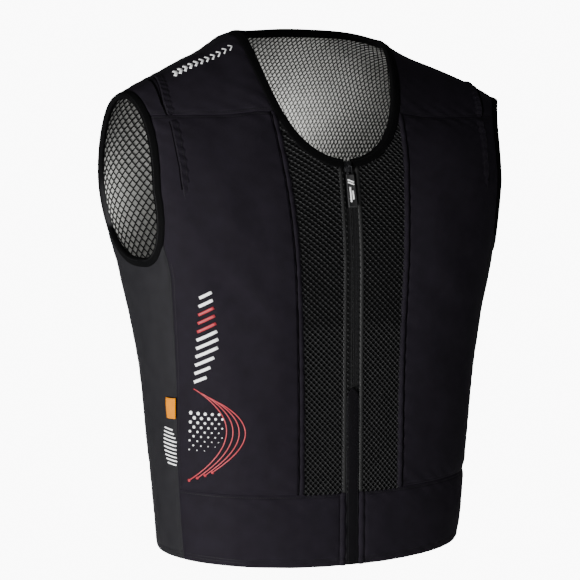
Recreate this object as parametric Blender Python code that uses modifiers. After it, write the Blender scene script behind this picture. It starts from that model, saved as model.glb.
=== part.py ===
"""Airbag vest for motorcycling, in its worn form.

The vest is a shell of black softshell panels over a lining, with spacer mesh down the front, bound
neck and armholes, and a front zip whose lower part lies under a placket. The folded airbag's pocket
is the space between shell and lining.

Frame: the wearer faces -Y, the wearer's left is +X, +Z is up, and the origin lies midway between the
two points of the neckline that sit highest on the shoulders.

Every cloth piece is laid on one torso form. A place on the form is (turn, level): turn is 0 at the
centre front, 0.5 at the side and 1 at the centre back, negative on the wearer's right; level is 0 at
the hem, 1 at the chest line and 2 on the shoulder ridge.
"""
import math

import bmesh
import bpy
import numpy as np
from mathutils import Matrix, Vector

COLLECTION = "airbag_vest"

# Torso form
HEM_DROP = 0.597
HEM_SIDE_RISE = 0.008
CHEST_DROP = 0.262
CHEST_HALF_WIDTH = 0.220
FRONT_DEPTH = 0.116
BACK_DEPTH = 0.128
NECK_HALF_WIDTH = 0.094
NECK_SEAT_DROP = 0.008
SHOULDER_HALF_WIDTH = 0.231
SHOULDER_DROP = 0.060
SHOULDER_FORWARD = 0.020
SHOULDER_ROUND = 0.035
FRONT_FULLNESS = 1.75
BACK_FULLNESS = 2.7
FULLNESS_TURN = 0.1875
FULLNESS_SPAN = 0.625
FRONT_NECK_DROP = 0.142
BACK_NECK_LEVEL = 1.700

# Level sections of the form: widths are shares of CHEST_HALF_WIDTH, depths of FRONT_DEPTH and
# BACK_DEPTH, and square is 2 for an ellipse and more for a boxier section
SECTIONS = {
    "level": (0.00, 0.34, 0.68, 1.00, 1.30, 1.64, 2.00),
    "width": (0.806, 0.855, 0.908, 1.000, 1.115, 1.125, 1.085),
    "front": (0.97, 0.98, 0.99, 1.00, 1.00, 1.00, 1.00),
    "back": (0.88, 0.86, 0.90, 1.00, 1.02, 1.02, 1.02),
    "square": (2.3, 2.4, 2.4, 2.5, 2.5, 2.6, 2.8),
}

# Cloth, counted outwards from the form: lining, pocket, then shell
LINING_THICKNESS = 0.0012
POCKET_DEPTH = 0.0024
SHELL_THICKNESS = 0.0018
MESH_THICKNESS = 0.0022
SEAM_GAP = 0.0004
CLEARANCE = 0.0003

# How the vest hangs above HANG_FOOT: the wearer's right side a little high and the left shoulder low, the
# right corner of the neck raised, the back of it low in the middle and the left edge of it drawn in
HANG_FOOT = -0.140
HANG_REACH = 0.090
RIGHT_RAISE = 0.0030
LEFT_DROP = 0.0125
LEFT_DROP_X = 0.100
LEFT_DROP_RUN = 0.027
CORNER_RAISE = 0.0060
CORNER_X = -0.095
CORNER_RUN = 0.025
NAPE_DROP = 0.0060
NAPE_RUN = 0.055
NECK_DRAW = 0.0100
NECK_DRAW_PLACE = (0.092, -0.040, -0.060)
NECK_DRAW_REACH = 0.110

# Binding tape folded over the neck and armhole edges
BINDING_WIDTH = 0.0090
BINDING_PROUD = 0.0008
BINDING_CORNER = 0.0020
BINDING_GAP = 0.0007

# Armhole: turns and levels of its loop on the form
ARMHOLE_FOOT_TURN = 0.400
ARMHOLE_FRONT_TURN = 0.304
ARMHOLE_BACK_TURN = 0.615
ARMHOLE_FOOT_LEVEL = 1.045
ARMHOLE_WIDE_LEVEL = 1.320
ARMHOLE_FULLNESS = 0.8
ARMHOLE_TOP_BEND = 1.6

# Seams
SIDE_SEAM_HEM_TURN = 0.392
SIDE_SEAM_CHEST_TURN = 0.320
SIDE_SEAM_BEND = 1.6
BACK_SEAM_TURN = 0.600
BAND_LEVEL = 0.250
MESH_HALF_WIDTH = 0.060
MESH_TOP_HALF_WIDTH = 0.083
MESH_FLARE_LEVEL = 0.30
MESH_FLARE_END = 1.55
MESH_FLARE_BEND = 2.5
FRONT_YOKE_DROP = 0.088
BACK_YOKE_LEVEL = 1.80

# Front zip
ZIP_OPENING = 0.0170
TAPE_WIDTH = 0.0140
TAPE_GAP = 0.0010
TAPE_THICKNESS = 0.0010
COIL_WIDTH = 0.0050
COIL_THICKNESS = 0.0008
LINING_SETBACK = 0.0070
PLACKET_WIDTH = 0.0158
PLACKET_TOP_LEVEL = 0.610
PLACKET_POINT = 0.010
PLACKET_POINT_BEND = 1.5
BINDING_ZIP_GAP = 0.0120
SLIDER_WIDTH = 0.0090
SLIDER_LENGTH = 0.0120
SLIDER_PLATE = 0.0012
SLIDER_LAP = 0.0065
BAIL_WIDTH = 0.0030
BAIL_WALL = 0.0010
BAIL_EYE = 0.0021
PIVOT_LIFT = 0.0010
LINK_WIRE = 0.0013
LINK_WIDTH = 0.0072
LINK_LENGTH = 0.0140
LINK_BEND = 0.00156
TAB_WIDTH = 0.0120
TAB_LENGTH = 0.0380
TAB_THICKNESS = 0.0025
TAB_LAP = 0.0030
TAB_CORNER = 0.0030

# Woven tab sewn into the right side seam
LABEL_WIDTH = 0.0130
LABEL_HEIGHT = 0.0240
LABEL_THICKNESS = 0.0012
LABEL_LEVEL = 0.537

SHELL_BASE = LINING_THICKNESS + POCKET_DEPTH
SHELL_TOP = SHELL_BASE + SHELL_THICKNESS
TAPE_TOP = SHELL_BASE - CLEARANCE
TAPE_BASE = TAPE_TOP - TAPE_THICKNESS
COIL_BASE = TAPE_BASE - CLEARANCE - COIL_THICKNESS
SIDES = {"right": -1, "left": 1}

# Colours as linear red, green and blue, with roughness and metallic value
FINISHES = {
    "softshell": ((0.012, 0.011, 0.017), 0.80, 0.0),
    "side_softshell": ((0.022, 0.022, 0.026), 0.80, 0.0),
    "spacer_mesh": ((0.010, 0.010, 0.010), 0.85, 0.0),
    "lining": ((0.42, 0.42, 0.38), 0.85, 0.0),
    "binding": ((0.006, 0.006, 0.007), 0.75, 0.0),
    "zip_tape": ((0.030, 0.030, 0.033), 0.80, 0.0),
    "zip_metal": ((0.10, 0.10, 0.11), 0.40, 0.8),
    "pull_rubber": ((0.010, 0.010, 0.011), 0.55, 0.0),
    "label": ((0.80, 0.25, 0.02), 0.70, 0.0),
}


def smooth_column(name, level):
    """A column of SECTIONS at a level, on a smooth curve through its rows."""
    levels = np.asarray(SECTIONS["level"])
    values = np.asarray(SECTIONS[name])
    level = np.clip(level, levels[0], levels[-1])
    gap = np.diff(levels)
    rise = np.diff(values) / gap
    slope = np.empty(len(levels))
    slope[1:-1] = (rise[:-1] * gap[1:] + rise[1:] * gap[:-1]) / (gap[:-1] + gap[1:])
    slope[0] = 1.5 * rise[0] - 0.5 * slope[1]
    slope[-1] = 1.5 * rise[-1] - 0.5 * slope[-2]
    row = np.clip(np.searchsorted(levels, level) - 1, 0, len(levels) - 2)
    t = (level - levels[row]) / gap[row]
    ends = (1 + 2 * t) * (1 - t) ** 2 * values[row] + t * t * (3 - 2 * t) * values[row + 1]
    bends = t * (1 - t) ** 2 * slope[row] + t * t * (t - 1) * slope[row + 1]
    return ends + gap[row] * bends


def rounded_square(angle, square):
    """A point of a unit rounded square: fore and across shares at an angle from fore."""
    fore = np.cos(angle)
    across = np.sin(angle)
    size = (np.abs(fore) ** square + np.abs(across) ** square) ** (1 / square)
    return fore / size, across / size


def ridge_height(x):
    """Height of the shoulder ridge at x from the middle."""
    near = math.hypot(NECK_HALF_WIDTH, SHOULDER_ROUND)
    far = math.hypot(SHOULDER_HALF_WIDTH, SHOULDER_ROUND)
    share = (np.hypot(x, SHOULDER_ROUND) - near) / (far - near)
    return -NECK_SEAT_DROP - SHOULDER_DROP * share


def cap_fullness(turn):
    """How full the form is above the chest line, from the front profile to the back one."""
    share = np.clip((np.abs(turn) - FULLNESS_TURN) / FULLNESS_SPAN, 0, 1)
    back_share = 0.5 - 0.5 * np.cos(np.pi * share)
    return FRONT_FULLNESS + (BACK_FULLNESS - FRONT_FULLNESS) * back_share


def ridge_x(turn):
    """Distance from the middle at which a turn of the form meets the shoulder ridge."""
    across = rounded_square(np.abs(turn) * np.pi, SECTIONS["square"][-1])[1]
    return CHEST_HALF_WIDTH * SECTIONS["width"][-1] * across


def form_point(turn, level):
    """Points of the torso form."""
    turn, level = np.broadcast_arrays(np.asarray(turn, float), np.asarray(level, float))
    fore, across = rounded_square(np.abs(turn) * np.pi, smooth_column("square", level))
    front = FRONT_DEPTH * smooth_column("front", level)
    back = BACK_DEPTH * smooth_column("back", level)
    depth = np.where(fore > 0, front, back)
    close, rise = rounded_square(np.clip(level - 1, 0, 1) * np.pi / 2, cap_fullness(turn))
    top_x = ridge_x(turn)
    x = CHEST_HALF_WIDTH * smooth_column("width", level) * across * np.where(turn < 0, -1, 1)
    y = -depth * fore * close - SHOULDER_FORWARD * top_x / SHOULDER_HALF_WIDTH * (1 - close)
    hem = -HEM_DROP + HEM_SIDE_RISE * across ** 2
    wall = hem + (-CHEST_DROP - hem) * np.minimum(level, 1)
    z = wall + (ridge_height(top_x) + CHEST_DROP) * rise
    return np.stack([x, y, z], -1)


def form_slopes(turn, level):
    """Derivatives of the form along turn and along level."""
    step = 1e-4
    level = np.clip(level, step, 2 - 2 * step)
    along_turn = form_point(turn + step, level) - form_point(turn - step, level)
    along_level = form_point(turn, level + step) - form_point(turn, level - step)
    return along_turn / (2 * step), along_level / (2 * step)


def form_normal(turn, level):
    """Outward normals of the form."""
    along_turn, along_level = form_slopes(turn, level)
    normal = np.cross(along_turn, along_level)
    return normal / np.linalg.norm(normal, axis=-1, keepdims=True)


def on_form(turn, level, out):
    """Points that lie `out` metres outside the form."""
    turn, level = np.broadcast_arrays(np.asarray(turn, float), np.asarray(level, float))
    return form_point(turn, level) + form_normal(turn, level) * out


def hung(points):
    """Points of the form moved to where they hang."""
    x = points[..., 0]
    height = np.clip((points[..., 2] - HANG_FOOT) / HANG_REACH, 0, 1)
    lift = RIGHT_RAISE - LEFT_DROP * (0.5 + 0.5 * np.tanh((x - LEFT_DROP_X) / LEFT_DROP_RUN))
    lift = lift + CORNER_RAISE * np.exp(-((x - CORNER_X) / CORNER_RUN) ** 2)
    lift = lift - NAPE_DROP * np.exp(-(x / NAPE_RUN) ** 2)
    away = np.linalg.norm(points - np.array(NECK_DRAW_PLACE), axis=-1) / NECK_DRAW_REACH
    moved = np.array(points)
    moved[..., 0] -= NECK_DRAW * np.clip(1 - away ** 2, 0, 1) ** 2
    moved[..., 2] += lift * height ** 2 * (3 - 2 * height)
    return moved


def turn_at(x, level):
    """Turn of the front half at which the form is x from the middle."""
    square = smooth_column("square", level)
    across = np.clip(np.abs(x) / (CHEST_HALF_WIDTH * smooth_column("width", level)), 0, 1)
    return np.arctan2(across, (1 - across ** square) ** (1 / square)) / np.pi


def level_at(turn_of_level, height):
    """Level above the chest line at which a line on the form, given as turn by level, has a height."""
    low = np.ones(np.shape(height))
    high = np.full(np.shape(height), 2.0)
    for _ in range(40):
        middle = (low + high) / 2
        below = form_point(turn_of_level(middle), middle)[..., 2] < height
        low = np.where(below, middle, low)
        high = np.where(below, high, middle)
    return (low + high) / 2


def shifted(turn, level, distance):
    """A line on the form moved sideways over it, to the left of its own direction seen from outside."""
    points = form_point(turn, level)
    along = np.gradient(points, axis=0)
    along /= np.linalg.norm(along, axis=-1, keepdims=True)
    side = np.cross(form_normal(turn, level), along) * distance
    along_turn, along_level = form_slopes(turn, level)
    e = np.sum(along_turn * along_turn, -1)
    f = np.sum(along_turn * along_level, -1)
    g = np.sum(along_level * along_level, -1)
    p = np.sum(side * along_turn, -1)
    q = np.sum(side * along_level, -1)
    area = e * g - f * f
    return turn + (g * p - f * q) / area, level + (e * q - f * p) / area


def spread(count, ends=0.0):
    """Shares from 0 to 1 in equal steps, or closer together towards both ends."""
    even = np.linspace(0, 1, count + 1)
    return even * (1 - ends) + (0.5 - 0.5 * np.cos(np.pi * even)) * ends


def neck_line(angle, back):
    """The neckline on the wearer's left: angle 0 at the middle, pi / 2 on the shoulder ridge."""
    x = NECK_HALF_WIDTH * np.sin(angle)
    middle = np.cos(angle)
    if back:
        level = 2 - (2 - BACK_NECK_LEVEL) * middle
        return 1 - turn_at(x, level), level
    height = -NECK_SEAT_DROP - (FRONT_NECK_DROP - NECK_SEAT_DROP) * middle
    level = level_at(lambda level: turn_at(x, level), height)
    return turn_at(x, level), level


def armhole_line(angle, back):
    """Half of the left armhole's loop: angle 0 at its foot, pi on the shoulder ridge."""
    widest = ARMHOLE_BACK_TURN if back else ARMHOLE_FRONT_TURN
    widest_x = form_point(widest, ARMHOLE_WIDE_LEVEL)[..., 0]
    climb = -np.cos(angle)
    foot_level = ARMHOLE_WIDE_LEVEL + (ARMHOLE_WIDE_LEVEL - ARMHOLE_FOOT_LEVEL) * climb
    foot_share = np.abs(np.sin(angle)) ** ARMHOLE_FULLNESS
    foot_turn = ARMHOLE_FOOT_TURN + (widest - ARMHOLE_FOOT_TURN) * foot_share
    top_level = ARMHOLE_WIDE_LEVEL + (2 - ARMHOLE_WIDE_LEVEL) * climb
    share = np.clip(climb, 0, 1) ** ARMHOLE_TOP_BEND
    top_x = widest_x + (SHOULDER_HALF_WIDTH - widest_x) * share ** 2 * (3 - 2 * share)
    top_turn = turn_at(top_x, top_level)
    top_turn = 1 - top_turn if back else top_turn
    lower = climb <= 0
    return np.where(lower, foot_turn, top_turn), np.where(lower, foot_level, top_level)


# Lines on the wearer's left that the panels end on, each a dense run of turns and levels
EDGE_SHIFT = BINDING_WIDTH / 2 + BINDING_GAP
QUARTER = np.linspace(0.0, math.pi / 2, 241)
HALF = np.linspace(0.0, math.pi, 481)
NECK_FRONT = shifted(*neck_line(QUARTER, False), -EDGE_SHIFT)
NECK_BACK = shifted(*neck_line(QUARTER, True), EDGE_SHIFT)
ARM_FRONT = shifted(*armhole_line(HALF, False), EDGE_SHIFT)
ARM_BACK = shifted(*armhole_line(HALF, True), -EDGE_SHIFT)


def side_seam(level):
    """Turn of the seam between the front panel and the side panel."""
    share = np.minimum(level, 1.0) ** SIDE_SEAM_BEND
    return SIDE_SEAM_HEM_TURN + (SIDE_SEAM_CHEST_TURN - SIDE_SEAM_HEM_TURN) * share


def mesh_seam(level):
    """Turn of the seam between the mesh panel and the front panel."""
    share = np.clip((level - MESH_FLARE_LEVEL) / (MESH_FLARE_END - MESH_FLARE_LEVEL), 0, 1)
    x = MESH_HALF_WIDTH + (MESH_TOP_HALF_WIDTH - MESH_HALF_WIDTH) * share ** MESH_FLARE_BEND
    return turn_at(x, level)


def level_on(line, share_of_line, share):
    """Level of an edge line at a share across a panel."""
    order = np.argsort(share_of_line)
    return np.interp(share, share_of_line[order], line[1][order])


def meeting(line, seam, first):
    """Level at which a seam, given as turn by level, first or last crosses an edge line."""
    ahead = line[0] > seam(line[1])
    crossing = np.nonzero(ahead[1:] != ahead[:-1])[0]
    k = crossing[0] if first else crossing[-1]
    gap = line[0] - seam(line[1])
    share = gap[k] / (gap[k] - gap[k + 1])
    return line[1][k] + (line[1][k + 1] - line[1][k]) * share


NECK_MESH_LEVEL = meeting(NECK_FRONT, mesh_seam, True)
ARM_SIDE_LEVEL = meeting(ARM_FRONT, side_seam, True)
ARM_BACK_LEVEL = meeting(ARM_BACK, lambda level: BACK_SEAM_TURN, True)


def turns_for(distance, turn, level):
    """How much turn makes a distance over the form."""
    return distance / np.linalg.norm(form_slopes(turn, level)[0], axis=-1)


def levels_for(distance, turn, level):
    """How much level makes a distance over the form."""
    return distance / np.linalg.norm(form_slopes(turn, level)[1], axis=-1)


def front_inner(level):
    """Inner edge of the front panel and the yoke: the mesh seam, then the neck."""
    neck = np.interp(level, NECK_FRONT[1], NECK_FRONT[0])
    edge = np.where(level < NECK_MESH_LEVEL, mesh_seam(level), neck)
    return edge + turns_for(SEAM_GAP / 2, edge, level)


def front_outer(level):
    """Outer edge of the front panel and the yoke: the side seam, then the armhole."""
    arm = np.interp(level, ARM_FRONT[1], ARM_FRONT[0])
    edge = np.where(level < ARM_SIDE_LEVEL, side_seam(level), arm)
    return edge - turns_for(SEAM_GAP / 2, edge, level)


def back_inner(level):
    """Neck edge of the back."""
    return np.interp(level, NECK_BACK[1], NECK_BACK[0])


def back_outer(level):
    """Outer edge of the back: the back side seam, then the armhole."""
    arm = np.interp(level, ARM_BACK[1], ARM_BACK[0])
    edge = np.where(level < ARM_BACK_LEVEL, BACK_SEAM_TURN, arm)
    return edge + turns_for(SEAM_GAP / 2, edge, level)


def side_inner(level):
    """Front edge of the side panel."""
    edge = side_seam(level)
    return edge + turns_for(SEAM_GAP / 2, edge, level)


def side_outer(level):
    """Back edge of the side panel."""
    return BACK_SEAM_TURN - turns_for(SEAM_GAP / 2, BACK_SEAM_TURN, level)


def zip_edge(level):
    """Edge of the front pieces beside the zip."""
    return turn_at(ZIP_OPENING / 2, level)


def mesh_outer(level):
    """Outer edge of the mesh panel."""
    edge = mesh_seam(level)
    return edge - turns_for(SEAM_GAP / 2, edge, level)


def across(left, right, share):
    """A place between two edges, given as turn by level."""
    return lambda level: left(level) + (right(level) - left(level)) * share


def top_of(line, left, right, share):
    """Level at which columns between two edges end on a line."""
    share_of_line = (line[0] - left(line[1])) / (right(line[1]) - left(line[1]))
    return level_on(line, share_of_line, share)


def rows(knots, counts):
    """Levels of a panel's rows, through knots that may differ from column to column."""
    levels = []
    for low, high, count in zip(knots, knots[1:], counts):
        levels += [low + (high - low) * step / count for step in range(count)]
    levels.append(knots[-1])
    return np.stack([np.atleast_1d(row) for row in np.broadcast_arrays(*levels)])


for old in list(bpy.data.objects):
    bpy.data.objects.remove(old, do_unlink=True)
vest = bpy.data.collections.new(COLLECTION)
bpy.context.scene.collection.children.link(vest)
guides = bpy.data.collections.new("guides")
bpy.context.scene.collection.children.link(guides)


def add_object(name, mesh, finish, collection=vest):
    """An object for a mesh, with a material of its own."""
    color, roughness, metallic = FINISHES[finish]
    material = bpy.data.materials.new(name + "_" + finish)
    material.use_nodes = True
    shader = material.node_tree.nodes["Principled BSDF"]
    shader.inputs["Base Color"].default_value = (*color, 1.0)
    shader.inputs["Roughness"].default_value = roughness
    shader.inputs["Metallic"].default_value = metallic
    mesh.materials.append(material)
    piece = bpy.data.objects.new(name, mesh)
    collection.objects.link(piece)
    return piece


def grid(points):
    """A bmesh grid with its vertices at an array of points, as they hang, row by row."""
    points = hung(points)
    row_count, column_count = points.shape[:2]
    bm = bmesh.new()
    bmesh.ops.create_grid(bm, x_segments=column_count - 1, y_segments=row_count - 1, size=1.0)
    for vert in bm.verts:
        column = round((vert.co.x + 1) / 2 * (column_count - 1))
        row = round((vert.co.y + 1) / 2 * (row_count - 1))
        vert.co = points[row, column]
    return bm


def finish_mesh(bm, name, smooth_angle=40):
    """The mesh of a bmesh, shaded smooth up to an angle."""
    mesh = bpy.data.meshes.new(name)
    bm.to_mesh(mesh)
    bm.free()
    mesh.shade_smooth()
    mesh.set_sharp_from_angle(angle=math.radians(smooth_angle))
    return mesh


def cloth(name, finish, turn, level, base, thickness, side=1):
    """A piece of cloth laid on the form: an open sheet, given its wall by Solidify."""
    points = on_form(turn * side, level, base)
    bm = grid(points)
    bm.normal_update()
    outward = form_normal(turn * side, level).mean(axis=(0, 1))
    facing = sum((face.normal * face.calc_area() for face in bm.faces), Vector())
    if facing.dot(Vector(outward)) < 0:
        bmesh.ops.reverse_faces(bm, faces=bm.faces)
    piece = add_object(name, finish_mesh(bm, name), finish)
    wall = piece.modifiers.new("Wall", "SOLIDIFY")
    wall.thickness = thickness
    wall.offset = 1.0
    return piece


def binding(name, turn, level, closed):
    """Binding tape folded over an edge: a rounded section carried along a line on the form."""
    centre = form_point(turn, level)
    normal = form_normal(turn, level)
    if closed:
        along = np.roll(centre, -1, axis=0) - np.roll(centre, 1, axis=0)
    else:
        along = np.gradient(centre, axis=0)
    along /= np.linalg.norm(along, axis=1, keepdims=True)
    side = np.cross(normal, along)
    half = BINDING_WIDTH / 2
    low, high = -BINDING_PROUD, SHELL_TOP + BINDING_PROUD
    cut = BINDING_CORNER
    section = [
        (half, low + cut), (half, high - cut), (half - cut, high), (cut - half, high),
        (-half, high - cut), (-half, low + cut), (cut - half, low), (half - cut, low),
    ]
    section.append(section[0])
    points = np.stack([centre + side * a + normal * b for a, b in section])
    if closed:
        points = np.concatenate([points, points[:, :1]], axis=1)
    bm = grid(points)
    bmesh.ops.remove_doubles(bm, verts=bm.verts, dist=1e-7)
    if not closed:
        bmesh.ops.holes_fill(bm, edges=bm.edges, sides=len(section))
    bmesh.ops.recalc_face_normals(bm, faces=bm.faces)
    return add_object(name, finish_mesh(bm, name), "binding")


def prism(outline, width):
    """A bmesh of an outline in the YZ plane, given a width along X."""
    bm = bmesh.new()
    face = bm.faces.new([bm.verts.new((-width / 2, y, z)) for y, z in outline])
    grown = bmesh.ops.extrude_face_region(bm, geom=[face])["geom"]
    moved = [item for item in grown if isinstance(item, bmesh.types.BMVert)]
    bmesh.ops.translate(bm, verts=moved, vec=(width, 0, 0))
    bmesh.ops.recalc_face_normals(bm, faces=bm.faces)
    return bm


# Front: softshell panels, spacer mesh and hem band, one of each on either side of the zip
mesh_share = spread(6)
panel_share = spread(6)
band_share = spread(8)
mesh_top = top_of(NECK_FRONT, zip_edge, mesh_outer, mesh_share)
panel_column = across(front_inner, front_outer, panel_share)
yoke_front = level_at(panel_column, np.full(len(panel_share), -FRONT_YOKE_DROP))
seam_level = levels_for(SEAM_GAP / 2, SIDE_SEAM_HEM_TURN, BAND_LEVEL)
yoke_gap = levels_for(SEAM_GAP / 2, panel_column(yoke_front), yoke_front)

# Sides: each side panel ends at the foot of the armhole
foot_front = ARM_FRONT[1] <= ARM_SIDE_LEVEL
foot_back = ARM_BACK[1] <= ARM_BACK_LEVEL
arm_foot = tuple(
    np.concatenate([front[foot_front][::-1], back[foot_back]])
    for front, back in zip(ARM_FRONT, ARM_BACK)
)
side_share = spread(12, 0.8)
side_top = top_of(arm_foot, side_inner, side_outer, side_share)

# Back: its columns end at a level, and in the middle on the neck
neck_back_share = (1 - NECK_BACK[0]) / (1 - back_outer(NECK_BACK[1]))
back_gap = levels_for(SEAM_GAP / 2, BACK_SEAM_TURN, BACK_YOKE_LEVEL)
ridge_gap = levels_for(SEAM_GAP, BACK_SEAM_TURN, 2.0)


def back_piece(name, finish, top_level, column_counts, row_counts, base, thickness):
    """A piece of the whole back, up to the neck and a level on either side of it."""
    neck_end = np.interp(top_level, NECK_BACK[1], QUARTER)
    neck_share = np.interp(neck_end * spread(column_counts[0]), QUARTER, neck_back_share)
    shoulder_share = neck_share[-1] + spread(column_counts[1])[1:] * (1 - neck_share[-1])
    half = np.concatenate([neck_share, shoulder_share])
    share = np.concatenate([-half[:0:-1], half])
    neck = np.interp(np.abs(share), neck_back_share, NECK_BACK[1])
    level = rows((0.0, BAND_LEVEL, ARM_BACK_LEVEL, np.minimum(neck, top_level)), row_counts)
    turn = (1 - (1 - back_outer(level)) * np.abs(share)) * np.where(share < 0, -1, 1)
    cloth(name, finish, turn, level, base, thickness)


back_piece("back_panel", "softshell", BACK_YOKE_LEVEL - back_gap, (6, 6), (2, 5, 8),
           SHELL_BASE, SHELL_THICKNESS)
back_piece("lining_back", "lining", 2.0 - ridge_gap, (8, 4), (2, 5, 9), 0.0, LINING_THICKNESS)

# Lining fronts: rows follow the neckline from the zip to the shoulder ridge
neck_rows = np.linspace(0.0, math.pi / 2, 12)
lining_share = spread(8)


def lining_inner(level):
    """Inner edge of a lining front: set back from the zip, then along the neck."""
    neck = np.interp(level, NECK_FRONT[1], NECK_FRONT[0])
    return np.maximum(turn_at(LINING_SETBACK, level), np.where(level < NECK_FRONT[1][0], 0, neck))


neck_levels = np.interp(neck_rows, QUARTER, NECK_FRONT[1])
lining_rows = rows((0.0, BAND_LEVEL, ARM_SIDE_LEVEL, neck_levels[0]), (2, 6, 2))
lining_levels = np.concatenate([lining_rows, neck_levels[1:-1, None], [[2.0]]])
lining_turns = across(lining_inner, front_outer, lining_share)(lining_levels)

for word, side in SIDES.items():
    level = rows((BAND_LEVEL + seam_level, 1.0, mesh_top), (6, 5))
    turn = across(zip_edge, mesh_outer, mesh_share)(level)
    cloth("mesh_panel_" + word, "spacer_mesh", turn, level, SHELL_BASE, MESH_THICKNESS, side)

    knots = (BAND_LEVEL + seam_level, ARM_SIDE_LEVEL, NECK_MESH_LEVEL, yoke_front - yoke_gap)
    level = rows(knots, (6, 4, 2))
    turn = panel_column(level)
    cloth("front_panel_" + word, "softshell", turn, level, SHELL_BASE, SHELL_THICKNESS, side)

    level = rows((0.0, BAND_LEVEL - seam_level), (2,))
    turn = across(zip_edge, front_outer, band_share)(level)
    cloth("hem_band_" + word, "softshell", turn, level, SHELL_BASE, SHELL_THICKNESS, side)

    front_level = rows((yoke_front + yoke_gap, 2.0), (6,))
    back_level = rows((2.0, BACK_YOKE_LEVEL + back_gap), (3,)) + 0 * panel_share
    front_turn = panel_column(front_level)
    back_turns = across(back_inner, back_outer, panel_share)(back_level)
    level = np.concatenate([front_level, back_level[1:]])
    turn = np.concatenate([front_turn, back_turns[1:]])
    cloth("yoke_" + word, "softshell", turn, level, SHELL_BASE, SHELL_THICKNESS, side)

    level = rows((0.0, BAND_LEVEL, side_top), (2, 6))
    turn = across(side_inner, side_outer, side_share)(level)
    cloth("side_panel_" + word, "side_softshell", turn, level, SHELL_BASE, SHELL_THICKNESS, side)
    cloth("lining_side_" + word, "lining", turn, level, 0.0, LINING_THICKNESS, side)

    cloth("lining_front_" + word, "lining", lining_turns, lining_levels, 0.0, LINING_THICKNESS, side)

    turn, level = armhole_line(np.linspace(0, math.pi, 21), False)
    turn_back, level_back = armhole_line(np.linspace(0, math.pi, 21), True)
    turn = np.concatenate([turn, turn_back[-2:0:-1]])
    level = np.concatenate([level, level_back[-2:0:-1]])
    binding("armhole_binding_" + word, turn * side, level, True)

# Neck binding: from one side of the zip round the neck to the other
start = math.asin(BINDING_ZIP_GAP / 2 / NECK_HALF_WIDTH)
front_turn, front_level = neck_line(start + (math.pi / 2 - start) * spread(13), False)
back_turns, back_level = neck_line((math.pi / 2) * spread(10), True)
half_turn = np.concatenate([front_turn, back_turns[-2::-1]])
half_level = np.concatenate([front_level, back_level[-2::-1]])
turn = np.concatenate([-half_turn, half_turn[-2::-1]])
level = np.concatenate([half_level, half_level[-2::-1]])
binding("neck_binding", turn, level, False)


def zip_strip(name, finish, left, right, base, thickness, top, rows_of, side=1, columns=1):
    """A strip of the zip laid on the form between two distances from the middle."""
    level = rows((0.0, 1.0, top), rows_of)
    x = left + (right - left) * spread(columns)
    turn = turn_at(x, level) * np.where(x < 0, -1, 1)
    cloth(name, finish, turn, level, base, thickness, side)


zip_top = float(mesh_top[0])
zip_rows = (8, 5)
for word, side in SIDES.items():
    inner = TAPE_GAP / 2
    zip_strip("zip_tape_" + word, "zip_tape", inner, inner + TAPE_WIDTH, TAPE_BASE, TAPE_THICKNESS,
              zip_top, zip_rows, side)
zip_strip("zip_coil", "zip_tape", -COIL_WIDTH / 2, COIL_WIDTH / 2, COIL_BASE, COIL_THICKNESS,
          zip_top, zip_rows)

# Placket: covers the lower part of the zip and ends in a point
placket_share = spread(4)
placket_x = (placket_share - 0.5) * PLACKET_WIDTH
point_levels = levels_for(PLACKET_POINT, 0.0, PLACKET_TOP_LEVEL)
drop_share = np.abs(2 * placket_share - 1) ** PLACKET_POINT_BEND
placket_top = PLACKET_TOP_LEVEL - point_levels * drop_share
level = rows((0.0, placket_top), (6,))
turn = turn_at(placket_x, level) * np.where(placket_x < 0, -1, 1)
cloth("placket", "softshell", turn, level, SHELL_BASE, SHELL_THICKNESS)

# Slider at the top of the zip: two plates round the tapes, joined above them, with a bail for the pull.
# Its own frame has Y into the vest, Z up along the zip and its origin on the form
seat = form_point(0.0, zip_top)
outward = form_normal(0.0, zip_top)
lean = math.atan2(outward[2], -outward[1])
slider_top = SLIDER_LENGTH - SLIDER_LAP
plate_out = TAPE_TOP + CLEARANCE
plate_in = COIL_BASE - CLEARANCE
outline = [
    (-plate_out - SLIDER_PLATE, -SLIDER_LAP), (-plate_out - SLIDER_PLATE, slider_top),
    (-plate_in + SLIDER_PLATE, slider_top), (-plate_in + SLIDER_PLATE, -SLIDER_LAP),
    (-plate_in, -SLIDER_LAP), (-plate_in, CLEARANCE),
    (-plate_out, CLEARANCE), (-plate_out, -SLIDER_LAP),
]
slider = add_object("zip_slider", finish_mesh(prism(outline, SLIDER_WIDTH), "zip_slider"), "zip_metal")
slider.location = seat
slider.rotation_euler = (-lean, 0, 0)
plate_face = plate_out + SLIDER_PLATE
half_eye = BAIL_EYE / 2
eye_bottom = plate_face + PIVOT_LIFT
foot = SLIDER_PLATE / 2
half_bail = half_eye + BAIL_WALL
arch = [
    (-plate_face + foot, -half_bail), (-eye_bottom - BAIL_EYE, -half_bail),
    (-eye_bottom - BAIL_EYE - BAIL_WALL, -half_eye), (-eye_bottom - BAIL_EYE - BAIL_WALL, half_eye),
    (-eye_bottom - BAIL_EYE, half_bail), (-plate_face + foot, half_bail),
    (-plate_face + foot, half_eye), (-eye_bottom - BAIL_EYE, half_eye),
    (-eye_bottom - BAIL_EYE, -half_eye), (-plate_face + foot, -half_eye),
]
bail = add_object("bail_guide", finish_mesh(prism(arch, BAIL_WIDTH), "bail_guide"), "zip_metal", guides)
bail.location = slider.location
bail.rotation_euler = slider.rotation_euler
bail.hide_render = True
bail.display_type = "WIRE"
joined = slider.modifiers.new("Bail", "BOOLEAN")
joined.operation = "UNION"
joined.object = bail

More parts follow.
